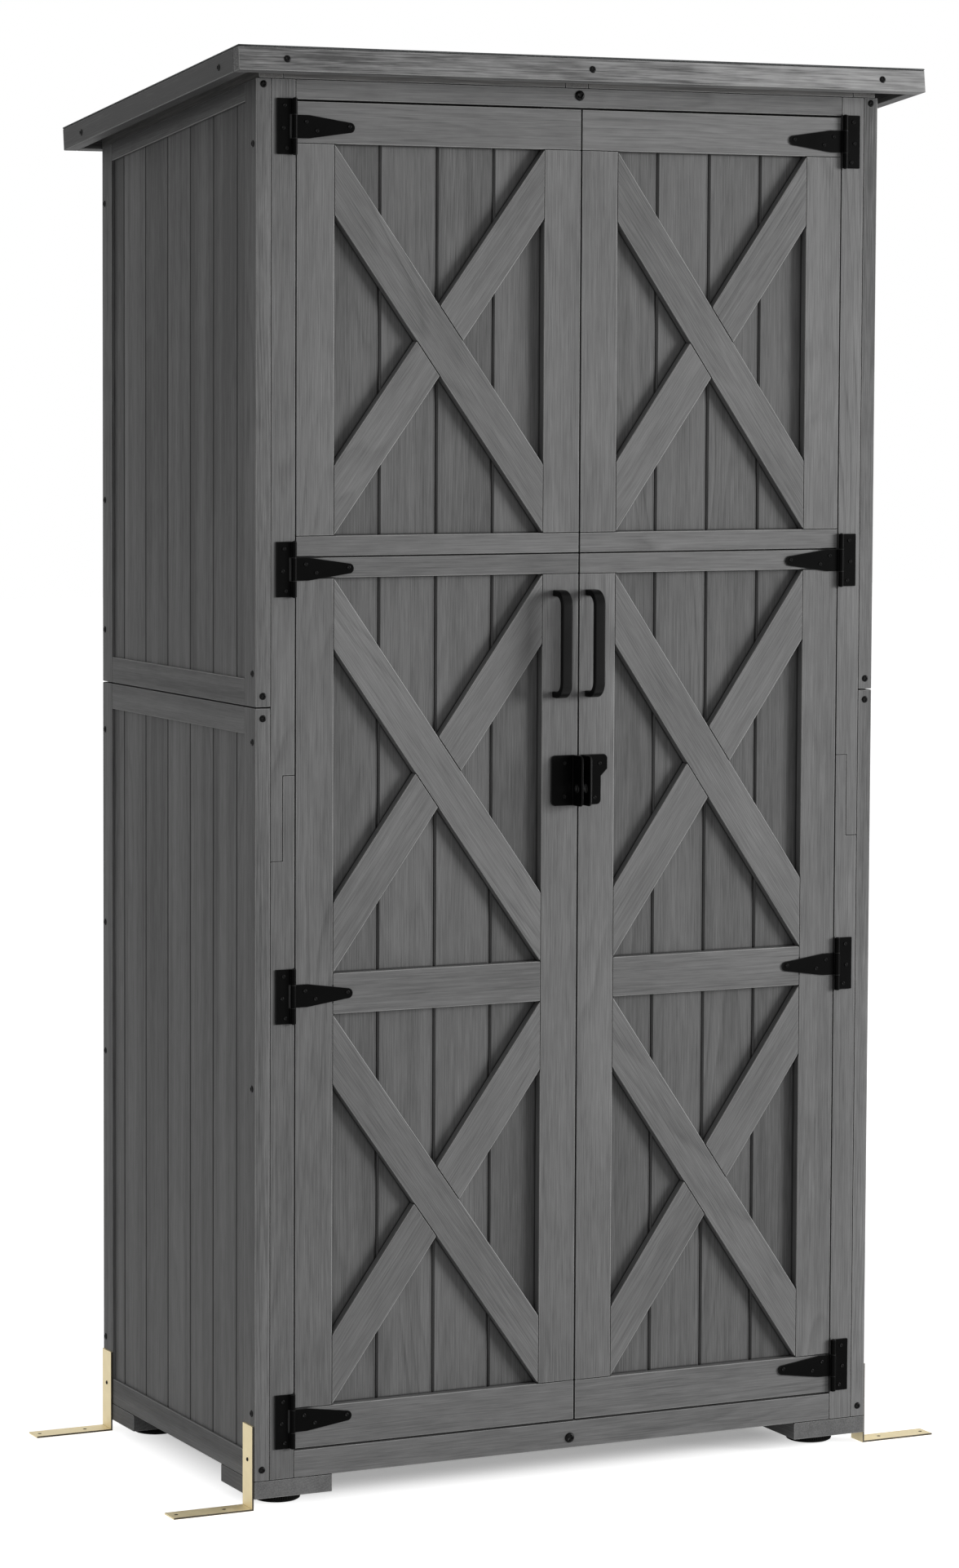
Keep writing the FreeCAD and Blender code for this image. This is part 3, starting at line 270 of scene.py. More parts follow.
def stained_fir(name, light, dark, ring, streaks=0.3, band=19, tones=0.15, fibres=1.3,
                blotches=0.45, seam=None, clear=(0.6, 0.92)):
    """Fir boards, planed and wiped with a thin grey stain.

    The eye sees fine fibres and long soft streaks along each piece, here and there yearly rings
    about 4 mm apart that run out into faint arches, blotches a finger long, a cloudy unevenness a
    hand wide where the stain was wiped, and a dull, slightly open surface. streaks, tones, fibres
    and blotches say how much of the way from dark to light each of them takes.

    Given a colour of dirt and painted shade for seams, what lies within 3 mm of another piece is
    darkened by its occlusion, a painted shade with stain and dirt: fully where the open share of
    the sky above it is under the first of the two shares in clear, and not at all where it is over
    the second.
    """
    made, tree = new_material(name)
    grain = add(tree, "ShaderNodeAttribute", attribute_name="grain").outputs["Vector"]
    tone_and_painted_light = add(tree, "ShaderNodeAttribute", attribute_name="tone_and_painted_light").outputs["Fac"]
    # Rings wander by about 9 mm over a third of a metre
    wander = mottling(tree, grain, (330, 60, 60), detail=1.0)
    shift = add(tree, "ShaderNodeVectorMath", (
        (0, wander.outputs["Color"]), (1, (0.0, 0.018, 0.018))), operation="MULTIPLY")
    bent = add(tree, "ShaderNodeVectorMath", ((0, grain), (1, shift.outputs[0])), operation="ADD")
    # The trunk's axis leans 25 mm a metre out of the board, so rings run out along the face
    lean = add(tree, "ShaderNodeVectorMath", ((0, bent.outputs[0]), (1, (0.025, 0, 0))),
               operation="DOT_PRODUCT")
    lift = add(tree, "ShaderNodeCombineXYZ", (("Z", lean.outputs["Value"]),))
    leaned = add(tree, "ShaderNodeVectorMath", ((0, bent.outputs[0]), (1, lift.outputs[0])),
                 operation="ADD")
    across = add(tree, "ShaderNodeVectorMath", ((0, leaned.outputs[0]), (1, (0, 1, 1))),
                 operation="MULTIPLY")
    radius = add(tree, "ShaderNodeVectorMath", ((0, across.outputs[0]),), operation="LENGTH")
    phase = add(tree, "ShaderNodeMath", ((0, radius.outputs["Value"]), (1, ring)),
                operation="DIVIDE")
    saw = add(tree, "ShaderNodeMath", ((0, phase.outputs[0]),), operation="FRACT").outputs[0]
    # Each ring is pale early wood that ends in a dark line of late wood
    rings = add(tree, "ShaderNodeValToRGB", ((0, saw),))
    rings.color_ramp.elements[0].color = (1, 1, 1, 1)
    rings.color_ramp.elements[1].color = (1, 1, 1, 1)
    for position, grey in ((0.5, 0.85), (0.86, 0.0)):
        rings.color_ramp.elements.new(position).color = (grey, grey, grey, 1)
    # The stain hides the rings except in patches about 0.3 m long
    patch = mottling(tree, grain, (300, 90, 90), detail=1.0).outputs[0]
    bare = add(tree, "ShaderNodeMapRange", (
        ("Value", patch), ("From Min", 0.45), ("From Max", 0.7)))
    swing = add(tree, "ShaderNodeMath", ((0, rings.outputs[0]), (1, 0.5)), operation="SUBTRACT")
    arches = add(tree, "ShaderNodeMath", ((0, swing.outputs[0]), (1, bare.outputs[0]), (2, 0.5)),
                 operation="MULTIPLY_ADD").outputs[0]
    # Fibres are about 0.3 mm wide; drawn 1.6 mm wide so that they show
    fibre = mottling(tree, grain, (60, 1.6, 1.6), rough=0.6).outputs[0]
    streak = mottling(tree, grain, (1400, band, band), rough=0.6).outputs[0]
    blotch = mottling(tree, grain, (38, 11, 11), detail=3.0, rough=0.6).outputs[0]
    cloud = mottling(tree, grain, (240, 80, 80), detail=3.0).outputs[0]
    value = weigh(tree, ((tone_and_painted_light, tones), (streak, streaks), (fibre, fibres), (blotch, blotches),
                         (cloud, 0.5), (arches, 0.25)))
    height = weigh(tree, ((fibre, 0.6), (arches, 0.3)))
    tints = (value, dark, light)
    if seam:
        stain = add(tree, "ShaderNodeMix", zip(("Factor", 6, 7), tints), data_type="RGBA")
        # Painted shade: occlusion within 3 mm darkens seams and inner corners, with stain and dirt
        near = add(tree, "ShaderNodeAmbientOcclusion", (("Distance", 3 * MM),), samples=8)
        unshaded_share = add(tree, "ShaderNodeMapRange", (
            ("Value", near.outputs["AO"]), ("From Min", clear[0]), ("From Max", clear[1])))
        tints = (unshaded_share.outputs[0], seam, stain.outputs[2])
    finish_surface(tree, tints, (fibre, 0.55, 0.72), height, depth=0.4 * MM, sheen=0.3)
    return made


def black_powder_coat(name, black, sheen, rough):
    """Steel pressed from sheet or bent from bar, and powder coated in black.

    The eye sees a near black with a soft sheen, a faint pebbled skin and slightly duller flats.
    """
    made, tree = new_material(name)
    place = add(tree, "ShaderNodeTexCoord").outputs["Object"]
    # The pebbles of the coat are under 1 mm; drawn 1.5 mm wide
    pebble = mottling(tree, place, (1.5, 1.5, 1.5)).outputs[0]
    patch = mottling(tree, place, (35, 35, 35)).outputs[0]
    dusty = tuple(channel * 1.6 for channel in black[:3]) + (1.0,)
    finish_surface(tree, (patch, black, dusty), (patch, rough, rough + 0.15), pebble,
                   depth=0.05 * MM, sheen=sheen, IOR=1.5)
    return made


def plated_steel(name, plate, shade, rough, bare=0.7):
    """Bent steel strip, electroplated with zinc.

    The eye sees a soft metallic sheen with cloudy patches a finger wide and fine rolling lines.
    bare runs from 0, where a film hides the metal, to 1 for bare metal.
    """
    made, tree = new_material(name)
    place = add(tree, "ShaderNodeTexCoord").outputs["Object"]
    patch = mottling(tree, place, (18, 18, 18), detail=3.0).outputs[0]
    rolling = mottling(tree, place, (40, 1.2, 40)).outputs[0]
    finish_surface(tree, (patch, shade, plate), (patch, rough, rough + 0.14), rolling,
                   depth=0.03 * MM, Metallic=bare)
    return made


def moulded_rubber(name, black, dusty):
    """Injection moulded black rubber of the foot pads.

    The eye sees a dull black with a fine spark-eroded grain and a little dust.
    """
    made, tree = new_material(name)
    place = add(tree, "ShaderNodeTexCoord").outputs["Object"]
    grit = mottling(tree, place, (1.2, 1.2, 1.2)).outputs[0]
    dust = mottling(tree, place, (22, 22, 9), detail=3.0).outputs[0]
    finish_surface(tree, (dust, black, dusty), (dust, 0.6, 0.85), grit, depth=0.06 * MM,
                   sheen=0.08, IOR=1.5)
    return made


def roofing_felt(name, bitumen, slate):
    """Bitumen felt strewn with crushed slate.

    The eye sees 1 to 2 mm grains from charcoal to pale grey pressed into black, and broad faded
    patches.
    """
    made, tree = new_material(name)
    place = add(tree, "ShaderNodeTexCoord").outputs["Object"]
    # Slate grains are about 1.5 mm; drawn 2.5 mm so that they show
    scaled = add(tree, "ShaderNodeVectorMath", ((0, place), (1, (400, 400, 400))),
                 operation="MULTIPLY")
    grains = add(tree, "ShaderNodeTexVoronoi", (("Vector", scaled.outputs[0]), ("Scale", 1.0)))
    shade = add(tree, "ShaderNodeSeparateColor", ((0, grains.outputs["Color"]),)).outputs[0]
    fade = mottling(tree, place, (210, 160, 160), detail=3.0).outputs[0]
    value = weigh(tree, ((shade, 0.8), (fade, 0.5)))
    height = add(tree, "ShaderNodeMath", ((0, 1.0), (1, grains.outputs["Distance"])),
                 operation="SUBTRACT")
    finish_surface(tree, (value, bitumen, slate), (shade, 0.75, 0.95), height.outputs[0],
                   depth=0.6 * MM, IOR=1.5)
    return made


# Surfaces
def node_solids(node):
    """A CAD node's points, triangles and each point's solid, a solid's coinciding points merged.

    Every edge gets a random number, counted plus one way and minus the other. A closed solid uses
    each edge once each way, so the running sum over its triangles is back at zero at its last one.
    """
    source = frame["nodes"][node].data
    points = np.zeros(len(source.vertices) * 3)
    source.vertices.foreach_get("co", points)
    points = points.reshape(-1, 3)
    source.calc_loop_triangles()
    corners = np.zeros(len(source.loop_triangles) * 3, np.int64)
    source.loop_triangles.foreach_get("vertices", corners)
    places = np.round(points / MICRON).astype(np.int64)
    merged = np.unique(places, axis=0, return_inverse=True)[1].reshape(-1)[corners].reshape(-1, 3)
    edges = merged[:, [0, 1, 1, 2, 2, 0]].reshape(-1, 2)
    pairs, which = np.unique(np.sort(edges, axis=1), axis=0, return_inverse=True)
    number = np.random.default_rng(1).uniform(1, 2, len(pairs))[which.reshape(-1)]
    running = np.cumsum(np.where(edges[:, 0] < edges[:, 1], number, -number).reshape(-1, 3).sum(1))
    owner = np.concatenate(([0], np.cumsum(np.abs(running) < ROUNDING)[:-1]))
    own, first, joined = np.unique(np.stack((np.repeat(owner, 3), merged.ravel()), axis=1), axis=0,
                                   return_index=True, return_inverse=True)
    triangles = joined.reshape(-1, 3)
    whole = (triangles != np.roll(triangles, 1, axis=1)).all(1)
    return points[corners[first]], triangles[whole], own[:, 0]


def grain_axes(points, triangles, solid):
    """Three axes for each solid: along its longest real edge, across, and out of its largest face.

    A real edge is one whose two triangles face different ways. Across is the cross product of out
    and along.
    """
    face, area = facing(points, triangles)
    edges = np.sort(triangles[:, [0, 1, 1, 2, 2, 0]].reshape(-1, 2), axis=1)
    owner = np.repeat(np.arange(len(triangles)), 3)
    order = np.lexsort((edges[:, 1], edges[:, 0]))
    edges, owner = edges[order], owner[order]
    pair = np.nonzero((edges[1:] == edges[:-1]).all(1))[0]
    real = pair[(face[owner[pair]] * face[owner[pair + 1]]).sum(1) < SAME_WAY]
    step = points[edges[real, 1]] - points[edges[real, 0]]
    span = np.linalg.norm(step, axis=1)
    along, out = np.zeros((solid.max() + 1, 3)), np.zeros((solid.max() + 1, 3))
    order = np.argsort(span)
    along[solid[edges[real, 0]][order]] = (step / span[:, None])[order]
    order = np.argsort(area)
    out[solid[triangles[:, 0]][order]] = face[order]
    across = np.cross(out, along)
    return np.stack((along, across, np.cross(along, across)), axis=1)


def facing(points, triangles):
    """Outward direction and doubled area of each triangle: its first two sides' cross product."""
    corners = points[triangles]
    normal = np.cross(corners[:, 1] - corners[:, 0], corners[:, 2] - corners[:, 0])
    area = np.linalg.norm(normal, axis=1)
    return normal / area[:, None], area


def piece_mesh(name, points, faces, smooth=False):
    """A mesh object from an array of points and a list of faces."""
    mesh = bpy.data.meshes.new(name)
    mesh.from_pydata(points.tolist(), [], faces)
    mesh.shade_smooth() if smooth else mesh.shade_flat()
    item = bpy.data.objects.new(name, mesh)
    bpy.context.scene.collection.objects.link(item)
    return item


def settle(item, body, slot, materials, *nodes):
    """Gives a piece its materials and its body, and hides the nodes that it stands for. slot is not
    used.
    """
    for material in materials:
        item.data.materials.append(material)
    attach(item, body)
    if nodes:
        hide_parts(*nodes)


def eased_copy(node, name, edge, segments=2):
    """The node's own shape with its flat faces made whole and its edges eased by a bevel."""
    points, triangles, solid = node_solids(node)
    item = piece_mesh(name, points, triangles.tolist(), smooth=True)
    whole = item.modifiers.new("Whole faces", "DECIMATE")
    whole.decimate_type = "DISSOLVE"
    whole.angle_limit = FLAT_WITHIN
    bevel = item.modifiers.new("Eased edges", "BEVEL")
    bevel.width = edge
    bevel.segments = segments
    bevel.limit_method = "ANGLE"
    bevel.angle_limit = SHARP_FROM
    item.modifiers.new("Flat faces", "WEIGHTED_NORMAL")
    return item, points, triangles, solid


def timber_piece(node, name, seed, edge):
    """An eased copy that carries each solid's own grain.

    The grain attribute is the point's distance along, across and out of its solid, in metres, plus
    its solid's random place in the log. The tone_and_painted_light attribute says how thin the
    stain lies, and holds painted light along the front fascia and painted shade by height on the
    walls.
    """
    item, points, triangles, solid = eased_copy(node, name, edge)
    # A board's eased edges lie in the grooves between boards and are drawn near black, for pooled
    # stain and painted shade; other pieces' eased edges are drawn paler, for thinned stain and a
    # painted highlight
    item.modifiers["Eased edges"].material = GROOVE_SLOT if node.endswith("_boards") else EDGE_SLOT
    axes = grain_axes(points, triangles, solid)
    if node.endswith("_jamb"):
        # Two halves lapped end to end out of one piece
        axes[:], solid = axes[0], np.zeros_like(solid)
    count = solid.max() + 1
    place = np.random.default_rng(seed + sum(node.encode()))
    log = place.uniform(LOG_NEAR, LOG_FAR, (count, 3))[solid]
    centre = np.array([points[solid == one].mean(0) for one in range(count)])[solid]
    grain = np.einsum("pij,pj->pi", axes[solid], points - centre) + log
    tone_and_painted_light = place.uniform(0, 1, count)[solid]
    if node == "roof_front_fascia":
        # Painted light: the board is drawn lighter towards its right end, where the light falls on
        # it more
        tone_and_painted_light = np.interp(points[:, 0], (points[:, 0].min(), points[:, 0].max()), FASCIA_PAINTED_LIGHT)
    elif is_wall(node):
        # Painted shade: sides and back are drawn darker towards the roof, where shade falls under
        # its overhang
        tone_and_painted_light = BOARD_TO_BOARD * (tone_and_painted_light - 0.5) + np.interp(points[:, 2], WALL_HEIGHTS, WALL_PAINTED_SHADE)
    for label, kind, field, values in (("grain", "FLOAT_VECTOR", "vector", grain.ravel()),
                                       ("tone_and_painted_light", "FLOAT", "value", tone_and_painted_light)):
        item.data.attributes.new(label, kind, "POINT").data.foreach_set(field, values)
    return item


def nodes_named(*parts):
    """The CAD nodes whose names hold any of the given words."""
    return [node for node in sorted(BODY_OF) if any(part in node for part in parts)]


def is_wall(node):
    """Whether a node is of the sides, the back or the roof's side edges, which share one stain."""
    return any(part in node for part in ("side", "back", "edge"))


def slot_of(node):
    """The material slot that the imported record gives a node."""
    return next(part["material_slot"] for part in frame["record"]["subparts"]
                if part["node"] == node)


def turned_head(radius, rows, height, recess=0.0, spokes=16):
    """A head turned about its own axis: height times a row's share, at its share of the radius.

    rows holds those pairs from the middle to the seat. Where the angle lies on an arm of the cross
    and the row is within CROSS_REACH, the surface drops by recess.
    """
    share, rise = np.array(rows, float).T
    angle = np.arange(spokes) * 2 * np.pi / spokes
    arm = (np.arange(spokes) % (spokes // 4) == 0) | (share <= CROSS_MIDDLE)[:, None]
    high = height * rise[:, None] - recess * (arm & (share <= CROSS_REACH)[:, None])
    x = radius * share[:, None] * np.cos(angle)
    y = radius * share[:, None] * np.sin(angle)
    return ring_surface(np.stack((x, y, high), axis=2))


def ring_surface(points):
    """Points and faces of rows of rings, from a middle point to a last ring closed by one face."""
    rows, spokes = points.shape[:2]
    flat = np.vstack((points[0].mean(0)[None, :], points[1:].reshape(-1, 3)))
    turn = np.arange(spokes)
    after = (turn + 1) % spokes
    fan = np.stack((np.zeros(spokes, int), 1 + turn, 1 + after), axis=1)
    row = np.arange(rows - 2)[:, None] * spokes + 1
    quads = np.stack((row + turn, row + spokes + turn, row + spokes + after, row + after), axis=2)
    last = (rows - 2) * spokes + 1
    return flat, fan.tolist() + quads.reshape(-1, 4).tolist() + [(last + turn[::-1]).tolist()]


def repeated(name, groups, seed=3):
    """One piece with each group's shape at each of its seats, a point and the direction it faces.

    A seat's frame is a side direction square to its outward one, turned by a random spin, their
    cross product, and the outward direction itself.
    """
    turns = np.random.default_rng(seed)
    every_point, every_face, used = [], [], 0
    for (points, faces), seats in groups:
        place = np.array([seat[0] for seat in seats], float)
        out = np.array([seat[1] for seat in seats], float)
        side = np.cross(out, np.where(np.abs(out[:, 2:]) > UPRIGHT, [RIGHT], [UP]))
        side /= np.linalg.norm(side, axis=1)[:, None]
        spin = turns.uniform(0, np.pi / 2, len(seats))[:, None]
        first = np.cos(spin) * side + np.sin(spin) * np.cross(out, side)
        axes = np.stack((first, np.cross(out, first), out), axis=1)
        placed = place[:, None, :] + np.einsum("vk,nkj->nvj", points, axes)
        every_point.append(placed.reshape(-1, 3))
        every_face += [[corner + used + index * len(points) for corner in face]
                       for index in range(len(seats)) for face in faces]
        used += len(seats) * len(points)
    return piece_mesh(name, np.vstack(every_point), every_face)


def mirrored(seats):
    """The seats' mirror images in the cabinet's middle plane."""
    return [((-place[0], *place[1:]), (-out[0], *out[1:])) for place, out in seats]


def seats_on(axis, level, out, spots):
    """Seats on a face square to an axis, at a level in metres. spots are in millimetres."""
    return [(tuple(np.insert(np.multiply(spot, MM), axis, level)), out) for spot in spots]


def middle(node):
    """Middle of a node's box, in millimetres."""
    return np.mean(np.array(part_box(node)), axis=0) / MM


def hinge_heights():
    """Middle height of each strap of the left door, in millimetres."""
    points, _, solid = node_solids("left_hinge_straps")
    spans = [points[solid == strap][:, 2] for strap in range(solid.max() + 1)]
    return sorted((span.min() + span.max()) / 2 / MM for span in spans)


def fascia_seats():
    """Seats on the roof's front fascia, which leans back by the roof's slope."""
    sine, cosine = math.sin(ROOF_SLOPE), math.cos(ROOF_SLOPE)
    low = np.array(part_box("roof_front_fascia")[0]) + (0, 0, FASCIA_THICKNESS * MM * sine)
    rise = FASCIA_SCREW_RISE * MM * np.array((0, sine, cosine))
    return [(tuple(low + rise + (x * MM - low[0], 0, 0)), (0, -cosine, sine))
            for x in FASCIA_SCREWS]


def felt_frame():
    """Middle, half sizes and axes of the felt's slab: across the roof, down the slope, and up."""
    points, triangles, solid = node_solids("roof_felt")
    centre = points.mean(0)
    axes = grain_axes(points, triangles, solid)[0]
    axes *= np.sign([axes[0][0], axes[1][1], axes[2][2]])[:, None]
    return centre, np.abs((points - centre) @ axes.T).max(0), axes


def felt_surface(centre, half, axes, seed, spokes=240, rings=26, rolls=6):
    """Felt laid on boards: a rounded rectangle shrunk ring by ring towards its middle.

    A ring's share runs from 1 at the edge to 0. The edge rolls over as a half round of the felt's
    own thickness. The top drops by FELT_WAVE times a quarter of two plus the sum of the waves, and
    a wave is a sine across the roof times a sine down it.
    """
    angle = np.arange(spokes) * 2 * np.pi / spokes
    square = np.maximum(np.abs(np.cos(angle)), np.abs(np.sin(angle)))
    unit = np.stack((np.cos(angle), np.sin(angle)), axis=1) / square[:, None]
    roll = np.linspace(0, np.pi, rolls + 1)[1:]
    share = np.concatenate((np.linspace(0, 1, rings), np.ones(rolls)))
    inward = half[2] * np.concatenate((np.ones(rings), 1 - np.sin(roll)))
    high = half[2] * np.concatenate((np.ones(rings), np.cos(roll)))
    reach = half[None, :2] - inward[:, None]
    flat = unit[None, :, :] * reach[:, None, :] * share[:, None, None]
    phase = np.random.default_rng(seed).uniform(0, 2 * np.pi, (2, 2))
    wave = np.sin(flat[..., None, :] * FELT_WAVES + phase).prod(-1).sum(-1)
    rise = high[:, None] - FELT_WAVE * (wave + 2) / 4 * (share < 1)[:, None]
    local = np.concatenate((flat, rise[..., None]), axis=2)
    return ring_surface(centre + local @ axes)


def ribbed_pad(radius, height, teeth=64, spokes=256):
    """A moulded foot: a flat sole, a rounded heel, a ribbed wall and a flat top.

    The radius of each row is carried round a circle, and on the wall it is cut back between the
    ribs by RIB_DEPTH times half of one minus the cosine of teeth times the angle.
    """
    rows = np.array(PAD_ROWS)
    angle = -np.arange(spokes) * 2 * np.pi / spokes
    groove = RIB_DEPTH * (1 - np.cos(teeth * angle)) / 2
    reach = rows[:, :1] * radius - rows[:, 2:] * groove
    level = np.broadcast_to(rows[:, 1:2] * height, reach.shape)
    return ring_surface(np.stack((reach * np.cos(angle), reach * np.sin(angle), level), axis=2))


# Stage
def seen_rays(tree):
    """1 for camera, glossy and transmission rays, 0 for the rest."""
    path = add(tree, "ShaderNodeLightPath").outputs
    seen = path["Is Camera Ray"]
    for kind in ("Is Glossy Ray", "Is Transmission Ray"):
        seen = add(tree, "ShaderNodeMath", ((0, seen), (1, path[kind])),
                   operation="MAXIMUM").outputs[0]
    return seen


def painted_floor(name, white, shade, lift):
    """Smooth matt paint on the floor, white with the cabinet's soft shadow.

    Seen directly or mirrored it is white and glows, so it has no horizon; to every other ray it is
    a light grey. The glow is a smooth step, from lift to GLOW over GLOW_REACH, of the distance to a
    box: on each axis the distance from the middle of the foot blocks, less half their size drawn in
    by GLOW_INSET, and never under zero; then the length of the three together. The weaker glow
    under the cabinet is a painted shadow that deepens the cast one, and the full glow further out
    paints over the cast shadow.
    """
    made, tree = new_material(name)
    low, high = np.array(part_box("foot_blocks"))
    core = (high - low) / 2 - (GLOW_INSET, GLOW_INSET, 0)
    place = add(tree, "ShaderNodeTexCoord").outputs["Object"]
    for step, *other in (("SUBTRACT", (low + high) / 2), ("ABSOLUTE",), ("SUBTRACT", core),
                         ("MAXIMUM", (0, 0, 0))):
        place = add(tree, "ShaderNodeVectorMath", zip((0, 1), (place, *other)),
                    operation=step).outputs[0]
    away = add(tree, "ShaderNodeVectorMath", ((0, place),), operation="LENGTH")
    strength = add(tree, "ShaderNodeMapRange", (
        ("Value", away.outputs["Value"]), ("From Max", GLOW_REACH), ("To Min", lift),
        ("To Max", GLOW)), interpolation_type="SMOOTHSTEP")
    glow = add(tree, "ShaderNodeEmission", (
        ("Color", (1, 1, 1, 1)), ("Strength", strength.outputs[0])))
    paint = add(tree, "ShaderNodeBsdfDiffuse", (("Color", white),))
    bright = add(tree, "ShaderNodeAddShader", ((0, paint.outputs[0]), (1, glow.outputs[0])))
    grey = add(tree, "ShaderNodeBsdfDiffuse", (("Color", shade),))
    mixed = add(tree, "ShaderNodeMixShader", (
        (0, seen_rays(tree)), (1, grey.outputs[0]), (2, bright.outputs[0])))
    add(tree, "ShaderNodeOutputMaterial", (("Surface", mixed.outputs[0]),))
    return made


def even_light(name, sky):
    """Light of strength sky from all round, seen as plain white."""
    world = bpy.data.worlds.new(name)
    world.use_nodes = True
    tree = world.node_tree
    tree.nodes.clear()
    strength = add(tree, "ShaderNodeMapRange", (
        ("Value", seen_rays(tree)), ("To Min", sky), ("To Max", 1.0)))
    light = add(tree, "ShaderNodeBackground", (
        ("Color", (1, 1, 1, 1)), ("Strength", strength.outputs[0])))
    add(tree, "ShaderNodeOutputWorld", (("Surface", light.outputs[0]),))
    return world


def view_axes():
    """The camera's right, up and backward directions in the photograph.

    It looks along +y turned right by CAMERA_TURN and down by CAMERA_DROP, and is rolled by
    CAMERA_TILT about that direction.
    """
    turn, drop, tilt = (math.radians(angle) for angle in (CAMERA_TURN, CAMERA_DROP, CAMERA_TILT))
    ahead = Vector((math.sin(turn) * math.cos(drop), math.cos(turn) * math.cos(drop),
                    -math.sin(drop)))
    level = Vector((math.cos(turn), -math.sin(turn), 0))
    right = math.cos(tilt) * level + math.sin(tilt) * level.cross(ahead)
    return right, right.cross(ahead), -ahead


# Operators
class Timber(bpy.types.Operator):
    """Boards, frames, braces, shelves and fascias in stained fir, with eased edges"""
    bl_idname = "cabinet.timber"
    bl_label = "Timber"

    def execute(self, context):
        look = context.scene.cabinet_timber
        ring = look.ring
        outer = stained_fir("Grey stained fir", look.light, look.dark, ring,
                            fibres=0.95, blotches=0.35)
        # The walls show their painted shade towards the roof at full weight
        wall = stained_fir("Streaky stained fir with painted shade towards the roof", look.light, look.dark, ring,
                           streaks=1.8, band=28, tones=1.0)
        # The boards get painted shade, with dirt, where they meet the frames
        panel = stained_fir("Grey stained fir boards", look.panel, look.dark, ring,
                            streaks=0.9, tones=0.4, seam=look.seam)
        inner = stained_fir("Thinly stained fir", look.inside, look.dark, ring)
        # Eased edges of frames and braces: paler for thinned stain and a painted highlight,
        # darkened at seams by painted shade
        worn_and_highlit = stained_fir("Stain worn off the edges", look.worn_and_highlit, look.light, ring,
                           seam=look.seam, clear=(0.88, 1.0))
        # Painted light on the front fascia, lighter towards its right end
        faded = stained_fir("Fir with painted light towards the right end", look.faded, look.dark, ring, tones=1.0)
        # Groove faces near black: stain pooled in the grooves, and painted shade of the gap between
        # boards
        groove = stained_fir("Pooled stain and painted shade in the grooves", look.dark, look.seam, ring)
        for node in sorted(BODY_OF):
            if not slot_of(node).startswith("stained"):
                continue
            material = inner if slot_of(node) == "stained_inner_timber" else outer
            if is_wall(node):
                material = wall
            elif node.endswith("_boards") and material is outer:
                material = panel
            elif node == "roof_front_fascia":
                material = faded
            item = timber_piece(node, f"timber_{node}", look.seed, look.edge)
            settle(item, BODY_OF[node], slot_of(node), (material, worn_and_highlit, groove), node)
        return {"FINISHED"}


class Metalwork(bpy.types.Operator):
    """Hinges, pulls, padlock eyes, joining plates and ground brackets"""
    bl_idname = "cabinet.metalwork"
    bl_label = "Metalwork"

    def execute(self, context):
        look = context.scene.cabinet_metal
        matt = black_powder_coat("Matt black powder coat", look.black, sheen=0.025, rough=0.28)
        satin = black_powder_coat("Satin black powder coat", look.black, sheen=0.1, rough=0.24)
        # Edges of hinges and eyes: coat thinned by wear, and a painted highlight
        rubbed_and_highlit = black_powder_coat("Black coat with painted highlight on the edges", look.rubbed_and_highlit, sheen=0.3,
                                   rough=0.3)
        zinc = plated_steel("Bright zinc plate", look.zinc, look.zinc_cloud, rough=0.32)
        yellow = plated_steel("Yellow zinc plate", look.yellow, look.yellow_cloud, rough=0.5,
                              bare=0.8)
        cut = plated_steel("Sheared edge of zinc plated strip", look.cut, look.cut_cloud,
                           rough=0.45, bare=0.1)
        for names, edge, slot, materials in (
                (("hinge", "padlock_eye"), look.edge, "black_steel", (matt, rubbed_and_highlit)),
                (("handle",), look.bar, "black_steel", (satin, satin)),
                (("mending_plates",), look.edge, "zinc_steel", (zinc, zinc)),
                (("ground_brackets",), look.edge, "yellow_zinc_steel", (yellow, cut))):
            for node in nodes_named(*names):
                item, points, triangles, _ = eased_copy(node, f"metal_{node}", edge, segments=3)
                item.modifiers["Eased edges"].material = EDGE_SLOT
                if cut in materials:
                    # Strip edges and the walls of the holes take the cut edge colour; in the holes
                    # it is painted shade
                    sheared = np.abs(facing(points, triangles)[0][:, 1]) > SHEARED_WAY
                    item.data.polygons.foreach_set("material_index", sheared * EDGE_SLOT)
                settle(item, BODY_OF[node], slot, materials, node)
        return {"FINISHED"}


